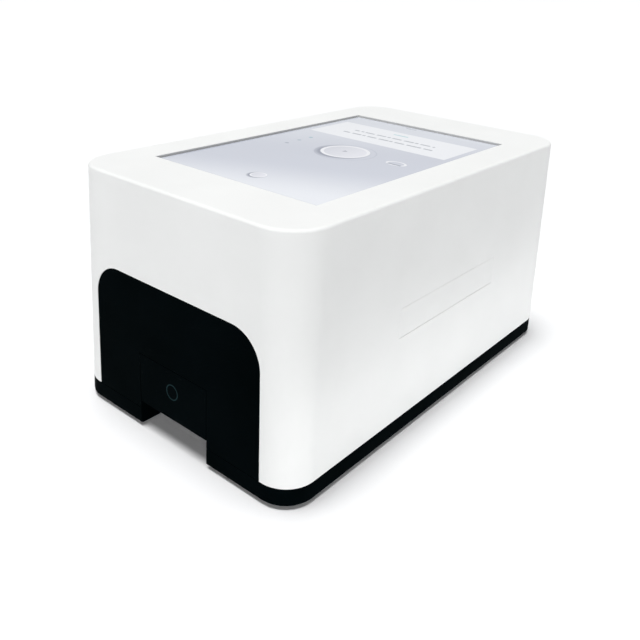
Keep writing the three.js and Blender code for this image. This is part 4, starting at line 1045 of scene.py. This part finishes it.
# Heat sink
# Seven fins on a plate, extruded in aluminium and sawn to length. A thin film of heat-conducting glue
# bonds it to the processor.
row_tree, given = growth("row_of_blades", count=whole, pitch=number, blade_x=number, blade_y=number,
                         blade_z=number, finish="NodeSocketMaterial")
wire = Wire(row_tree)
row = wire.node("GeometryNodeMeshLine", sockets={
    "Count": given["count"], "Offset": wire.vector(given["pitch"])})
blade_size = wire.vector(given["blade_x"], given["blade_y"], given["blade_z"])
blade = wire.node("GeometryNodeMeshCube", sockets={"Size": blade_size})
rows = wire.node("GeometryNodeInstanceOnPoints", sockets={"Points": row, "Instance": blade})
rows = wire.node("GeometryNodeInstanceOnPoints", sockets={"Points": given["Geometry"], "Instance": rows})
ripened(row_tree, rows, given["finish"])

low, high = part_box("heat_sink")
sink_base = 3 * MM
fin_count = 7
fin_width = 1.4 * MM
fin_root = 0.4 * MM
fin_pitch = (high.x - low.x - fin_width) / (fin_count - 1)
fin_height = high.z - low.z - sink_base + fin_root
fin_start = (low.x + fin_width / 2, middle("heat_sink").y, high.z - fin_height / 2)
extruded = metal("extruded_aluminium", srgb(154, 158, 162), srgb(172, 176, 180), 0.34, (2200, 90, 2200))
fins_mesh = grown(points_mesh([fin_start]), row_tree, count=fin_count, pitch=fin_pitch, blade_x=fin_width,
                  blade_y=high.y - low.y, blade_z=fin_height, finish=extruded)
sink_mesh = joined(block(low, (high.x, high.y, low.z + sink_base)), fins_mesh)
sink = polished("heat_sink_piece", sink_mesh, 0.15 * MM, segments=2)
dress(sink, "case", "aluminium", ["heat_sink"], extruded)

# Display ribbon
# A flat ribbon of white polyester with its conductors showing through, from the board's socket up to
# the screen. It bows a little between its two ends.
low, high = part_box("display_cable")
ribbon_half = (high.y - low.y) / 2
bow = 2.2 * MM
ribbon_steps = 36
ribbon_rings = []
for k in range(ribbon_steps + 1):
    z = low.z + (high.z - low.z) * k / ribbon_steps
    shift = bow * math.sin(math.tau * k / ribbon_steps) * math.sin(math.pi * k / ribbon_steps)
    front = middle("display_cable").y + shift - ribbon_half
    back = middle("display_cable").y + shift + ribbon_half
    ribbon_rings.append([(low.x, front, z), (high.x, front, z), (high.x, back, z), (low.x, back, z)])
ribbon_finish, ribbon_shader, wire = finish("ribbon_polyester", srgb(226, 228, 232), 0.35)
x, _, _ = in_mm(wire)
conductor = abs(x.fraction() - 0.5).step(0.2, 0.3, 1.0, 0.0)
attach(conductor.tint(srgb(226, 228, 232), srgb(168, 172, 178)), ribbon_shader, "Base Color")
attach(conductor * 0.15 + 0.3, ribbon_shader, "Roughness")
attach(bump(wire, conductor, 0.3, 0.00004), ribbon_shader, "Normal")
ribbon = polished("display_cable_piece", lofted(ribbon_rings), 0.08 * MM, segments=1)
dress(ribbon, "case", "rail_grey", ["display_cable"], ribbon_finish)

# Screen
# A liquid-crystal panel in a steel pan, bonded to a stepped cover glass that shows plain controls at its
# face. A rubber gasket goes round the pan, and a folded aluminium bracket clamps them from beneath.
bright_sheet = metal("bright_sheet", srgb(148, 152, 156), srgb(164, 168, 172), 0.42, (120, 1600, 120))
refined("display_bracket", "case", "aluminium", bright_sheet, bevel=0.15 * MM)
refined("glass_gasket", "case", "rubber", rubber, bevel=0.1 * MM)
pan_steel = metal("pan_steel", srgb(150, 152, 154), srgb(170, 172, 174), 0.34, (200, 1800, 200))
panel_piece = refined("display_panel", "case", "screen", pan_steel, bevel=0.15 * MM)

screen_finish, screen_shader, wire = finish("lit_screen", srgb(14, 15, 18), 0.4, Emission_Strength=0.11,
                                            Coat_Weight=1.0, Coat_Roughness=0.02, Coat_IOR=1.5)
x, y, _ = in_mm(wire)
front_lilac = srgb(234, 237, 243)
middle_lilac = srgb(202, 206, 218)
back_lilac = srgb(220, 224, 233)
tone = (y - x * 0.45).step(-101, -41).tint(front_lilac, middle_lilac)
tone = (y - x * 0.6).step(-10, 70).tint(tone, back_lilac)
banner_y = 45
banner = band(x, 0, 47.5, 1.2) * band(y, banner_y, 18.5, 1.0)
tone = (banner * 0.92).tint(tone, srgb(247, 249, 253))


def dashed_row(y_row, half, height, seed):
    """A row of plain grey dashes of uneven length."""
    dashes = (x * 0.62 + seed).sine() + (x * 1.57 + seed).sine()
    return band(x, 0, half, 0.5) * band(y, y_row, height, 0.25) * dashes.step(-1.1, -0.8)


rows = dashed_row(banner_y + 2.5, 29, 0.9, 0.4) + dashed_row(banner_y - 5.5, 32, 0.9, 2.1)
tone = (rows * 0.75).tint(tone, srgb(150, 155, 166))
tone = (band(x, -1, 5, 0.5) * band(y, banner_y + 12, 0.7, 0.25) * 0.8).tint(tone, srgb(150, 205, 212))


def button(x_mid, y_mid, radius, rim):
    """A raised round button: soft shade to its front left, a pale rim and a light face."""
    reach = span(x - x_mid, y - y_mid)
    shade = span(x - x_mid + rim * 0.45, y - y_mid + rim * 0.75)
    lit = shade.step(radius - rim * 0.6, radius + rim * 1.2, 0.9, 0.0).tint(tone, srgb(128, 134, 152))
    lit = reach.step(radius - 0.5, radius, 1.0, 0.0).tint(lit, srgb(243, 244, 249))
    face = (x - x_mid).step(-radius, radius).tint(srgb(213, 215, 224), srgb(231, 232, 240))
    return reach.step(radius - rim - 0.3, radius - rim + 0.3, 1.0, 0.0).tint(lit, face)


button_x, button_y = 1, -1.5
button_radius = 14.2
button_rim = 2.2
halo = band(span(x - button_x - 1, y - button_y + 1), button_radius + 3, 0.25, 0.3)
tone = (halo * 0.5).tint(tone, srgb(176, 181, 196))
tone = button(button_x, button_y, button_radius, button_rim)
arrow = (x + 0.7).step(0, 0.2) * (2.7 - x * 1.15 - abs(y + 1) * 1.9).step(0, 0.25)
tone = (arrow * 0.75).tint(tone, srgb(138, 143, 158))
tone = button(2, -71.5, 4.6, 1.0)
oval_x = 35
oval = span((x - oval_x) / 1.5, y + 1)
tone = (band(oval, 3.6, 0.35, 0.3) * 0.9).tint(tone, srgb(246, 247, 251))
tone = (band(x, oval_x, 4.2, 0.2) * band(y, -3.3, 0.6, 0.3) * 0.8).tint(tone, srgb(134, 140, 156))
dots_x = -34
for dot_y, ink in ((10, srgb(126, 178, 190)), (-0.5, srgb(150, 172, 186)), (-11.3, srgb(146, 156, 172))):
    tone = (span(x - dots_x, y - dot_y).step(1.0, 1.5, 1.0, 0.0) * 0.8).tint(tone, ink)
tone = (band(x, -7.5, 3.6, 0.3) * band(y, 78.5, 0.6, 0.25) * 0.7).tint(tone, srgb(150, 156, 168))


def past_frame(half_x, half_y, frame_y=-3):
    """How far a place lies outside a rectangle of the picture."""
    return (abs(x) - half_x).above(abs(y - frame_y) - half_y)


# A thin grey line 1.4 mm inside the picture's edge, all round: painted shade standing for the shade line
# along the opening's edge.
tone = (band(past_frame(52.2, 84.1), 0, 0.15, 0.15) * 0.7).tint(tone, srgb(150, 155, 168))
# A dark border round the picture: partly the screen's own black edge, partly painted shadow of the gap
# beneath the opening's edge.
tone = past_frame(53.25, 85.75).step(-0.15, 0.05).tint(tone, srgb(34, 38, 46))
attach(tone, screen_shader, "Emission Color")
attach(tone, screen_shader, "Base Color")
attach(noise(wire, 30).step(0.3, 0.7, 0.36, 0.44), screen_shader, "Roughness")
face_depth = 0.05 * MM
panel_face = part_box("display_panel")[1].z - face_depth
glass_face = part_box("cover_glass")[1].z - face_depth
split(panel_piece, screen_finish, lambda point: point.z > panel_face)

cover_clear = clear_glass("cover_clear", srgb(246, 249, 255), srgb(250, 252, 255), 0.0)
cover_piece = refined("cover_glass", "case", "cover_glass", cover_clear, bevel=0.2 * MM)
split(cover_piece, screen_finish, lambda point: point.z > glass_face)

# Rear connections
# Plated sockets soldered to the board's edge and a rocker switch snapped into its own housing, each
# standing in its cut-out of the moulded rear panel.
refined("rear_panel", "case", "case_black", black_abs)
socket_black = moulded("socket_black", srgb(16, 17, 18), srgb(24, 25, 26), 0.34, grain=2400)
inlet = refined("dc_inlet", "case", "case_black", socket_black, bevel=0.2 * MM)
inlet_axis = middle("dc_inlet")
pin_reach = 1.3 * MM
pin_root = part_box("dc_inlet")[1].y - 8.5 * MM
split(inlet, nickel, lambda point: (
    math.hypot(point.x - inlet_axis.x, point.z - inlet_axis.z) < pin_reach and point.y > pin_root))

tin_shell = metal("tinned_shell", srgb(182, 184, 186), srgb(204, 206, 208), 0.22, (1500, 150, 1500))
usb_piece = refined("usb_ports", "case", "steel", tin_shell, bevel=0.1 * MM)
tongue_black = moulded("tongue_black", srgb(20, 21, 24), srgb(28, 29, 32), 0.4, grain=2400)
low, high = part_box("usb_ports")
usb_wall = 0.8 * MM
port_height = 5.2 * MM
port_spacing = (high.z - low.z - usb_wall) / 2
port_tops = [low.z + usb_wall + port_height + k * port_spacing for k in range(2)]
usb_x = middle("usb_ports").x
tongue_half = 5.7 * MM
tongue_foot = 1.9 * MM
tongue_top = 0.6 * MM
split(usb_piece, tongue_black, lambda point: abs(point.x - usb_x) < tongue_half and any(
    top - tongue_foot < point.z < top - tongue_top for top in port_tops))
gold = metal("contact_gold", srgb(206, 164, 82), srgb(224, 184, 104), 0.25, (300, 2400, 300))


def contact_rows(name, starts, count, pitch, width, length, height):
    """Rows of gold contacts, each row given by the middle of its first one."""
    rows_mesh = grown(points_mesh(starts), row_tree, count=count, pitch=pitch * MM, blade_x=width * MM,
                      blade_y=length * MM, blade_z=height * MM, finish=gold)
    dress(polished(name, rows_mesh, 0), "case", "steel", [], gold)


usb_starts = [(usb_x - 3 * MM, high.y - 4.4 * MM, top - 1.83 * MM) for top in port_tops]
contact_rows("usb_contacts", usb_starts, count=4, pitch=2, width=0.9, length=6.2, height=0.1)

jack_piece = refined("network_jack", "case", "steel", tin_shell, bevel=0.15 * MM)
low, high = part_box("network_jack")
jack_x = middle("network_jack").x
mouth_half = 6.1 * MM
mouth_bottom = low.z + 1.4 * MM
mouth_top = high.z - 1.5 * MM
split(jack_piece, socket_black, lambda point: (
    abs(point.x - jack_x) < mouth_half and mouth_bottom < point.z < mouth_top))
jack_start = (jack_x - 3.57 * MM, high.y - 7 * MM, low.z + 2.6 * MM)
contact_rows("jack_contacts", [jack_start], count=8, pitch=1.02, width=0.45, length=9, height=0.4)

refined("power_switch_housing", "case", "switch_black", socket_black, bevel=0.25 * MM)
rocker_x = middle("power_rocker").x / MM
rocker_z = middle("power_rocker").z / MM
mark_shift = 2.8
rocker_face = 122


def switch_marks(x, y, z):
    """The on and off marks of a switch: an upright stroke and a small ring, on the outer face."""
    stroke = band(x, rocker_x, 0.3) * band(z, rocker_z + mark_shift, 1.1)
    ring = band(span(x - rocker_x, z - rocker_z + mark_shift), 1.05, 0.22)
    return (stroke + ring) * y.step(rocker_face, rocker_face + 0.4)


marked_black = printed(socket_black, "marked_black", srgb(214, 216, 216), switch_marks)
refined("power_rocker", "power_rocker", "switch_black", marked_black, bevel=0.4 * MM, segments=3)

# Screws
# Machine screws with a hexagon recess and a rolled thread, in blackened steel under the base and in
# bright zinc elsewhere. One rule makes them all from their own sizes.
screw_tree, given = growth("recessed_screws", shank_radius=number, shank_length=number, head_radius=number,
                           head_height=number, recess_radius=number, recess_depth=number, pitch=number,
                           finish="NodeSocketMaterial")
wire = Wire(screw_tree)


def lifted(geometry, height):
    return wire.node("GeometryNodeTransform", sockets={
        "Geometry": geometry, "Translation": wire.vector(z=height)})


def cylinder(vertices, radius, depth, centre_height):
    made = wire.node("GeometryNodeMeshCylinder", sockets={
        "Vertices": vertices, "Radius": radius, "Depth": depth})
    return lifted(made, centre_height)


head = cylinder(32, given["head_radius"], given["head_height"], given["head_height"] * 0.5)
recess = cylinder(6, given["recess_radius"], given["recess_depth"] * 2.0, 0.0)
recessed = wire.node("GeometryNodeMeshBoolean", {"operation": "DIFFERENCE", "solver": "EXACT"},
                     {"Mesh 1": head, "Mesh 2": recess})
core_radius = given["shank_radius"] * 0.84
tip_length = given["shank_radius"] * 0.5
core_length = given["shank_length"] - tip_length
core = cylinder(24, core_radius, core_length, given["head_height"] + core_length * 0.5)
tip = wire.node("GeometryNodeMeshCone", sockets={
    "Vertices": 24, "Radius Top": core_radius * 0.45, "Radius Bottom": core_radius, "Depth": tip_length})
tip = lifted(tip, given["head_height"] + core_length)
ridge_radius = given["shank_radius"] * 0.87
ridge_height = given["shank_radius"] * 0.12
spiral = wire.node("GeometryNodeCurveSpiral", sockets={
    "Resolution": 16, "Rotations": core_length / given["pitch"], "Start Radius": ridge_radius,
    "End Radius": ridge_radius, "Height": core_length})
ridge = wire.node("GeometryNodeCurvePrimitiveCircle", {"mode": "RADIUS"},
                  {"Resolution": 4, "Radius": ridge_height})
thread = wire.node("GeometryNodeCurveToMesh", sockets={
    "Curve": spiral, "Profile Curve": ridge, "Fill Caps": True})
thread = lifted(thread, given["head_height"])
together = screw_tree.nodes.new("GeometryNodeJoinGeometry")
for portion in (thread, tip, core, recessed):
    screw_tree.links.new(portion.socket, together.inputs[0])
planted = wire.node("GeometryNodeInstanceOnPoints", sockets={
    "Points": given["Geometry"], "Instance": Wire(screw_tree, together.outputs[0])})
ripened(screw_tree, planted, given["finish"])

blackened = metal("blackened_steel", srgb(34, 34, 36), srgb(48, 48, 50), 0.36)
zinc = metal("zinc_plate", srgb(172, 176, 180), srgb(194, 198, 202), 0.26)
along_axis = {
    "up": Matrix.Identity(4),
    "down": Matrix.Rotation(math.pi, 4, "X"),
    "right": Matrix.Rotation(math.pi / 2, 4, "Y"),
}
screw_sets = {
    "case_screw": ("up", 1.5, 3, 1.6, blackened),
    "board_screw": ("down", 1.25, 2.5, 1.6, zinc),
    "display_screw": ("up", 1.2, 2.4, 1.5, zinc),
    "motor_screw": ("right", 1.2, 2.2, 1.4, zinc),
}
for group, (way, shank, head_reach, head_rise, material) in screw_sets.items():
    turn = along_axis[way]
    nodes = sorted(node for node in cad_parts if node.startswith(group))
    starts = []
    for node in nodes:
        low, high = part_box(node)
        head_end = middle(node) - turn.to_3x3() @ Vector((0, 0, max(high - low) / 2))
        starts.append(turn.inverted() @ head_end)
    screws_mesh = grown(points_mesh(starts), screw_tree, shank_radius=shank * MM,
                        shank_length=max(high - low) - head_rise * MM, head_radius=head_reach * MM,
                        head_height=head_rise * MM, recess_radius=head_reach * 0.52 * MM,
                        recess_depth=head_rise * 0.6 * MM, pitch=shank * 0.4 * MM, finish=material)
    screws_mesh.transform(turn)
    dress(polished(f"{group}s", screws_mesh, 0), "case", "steel", nodes, material)
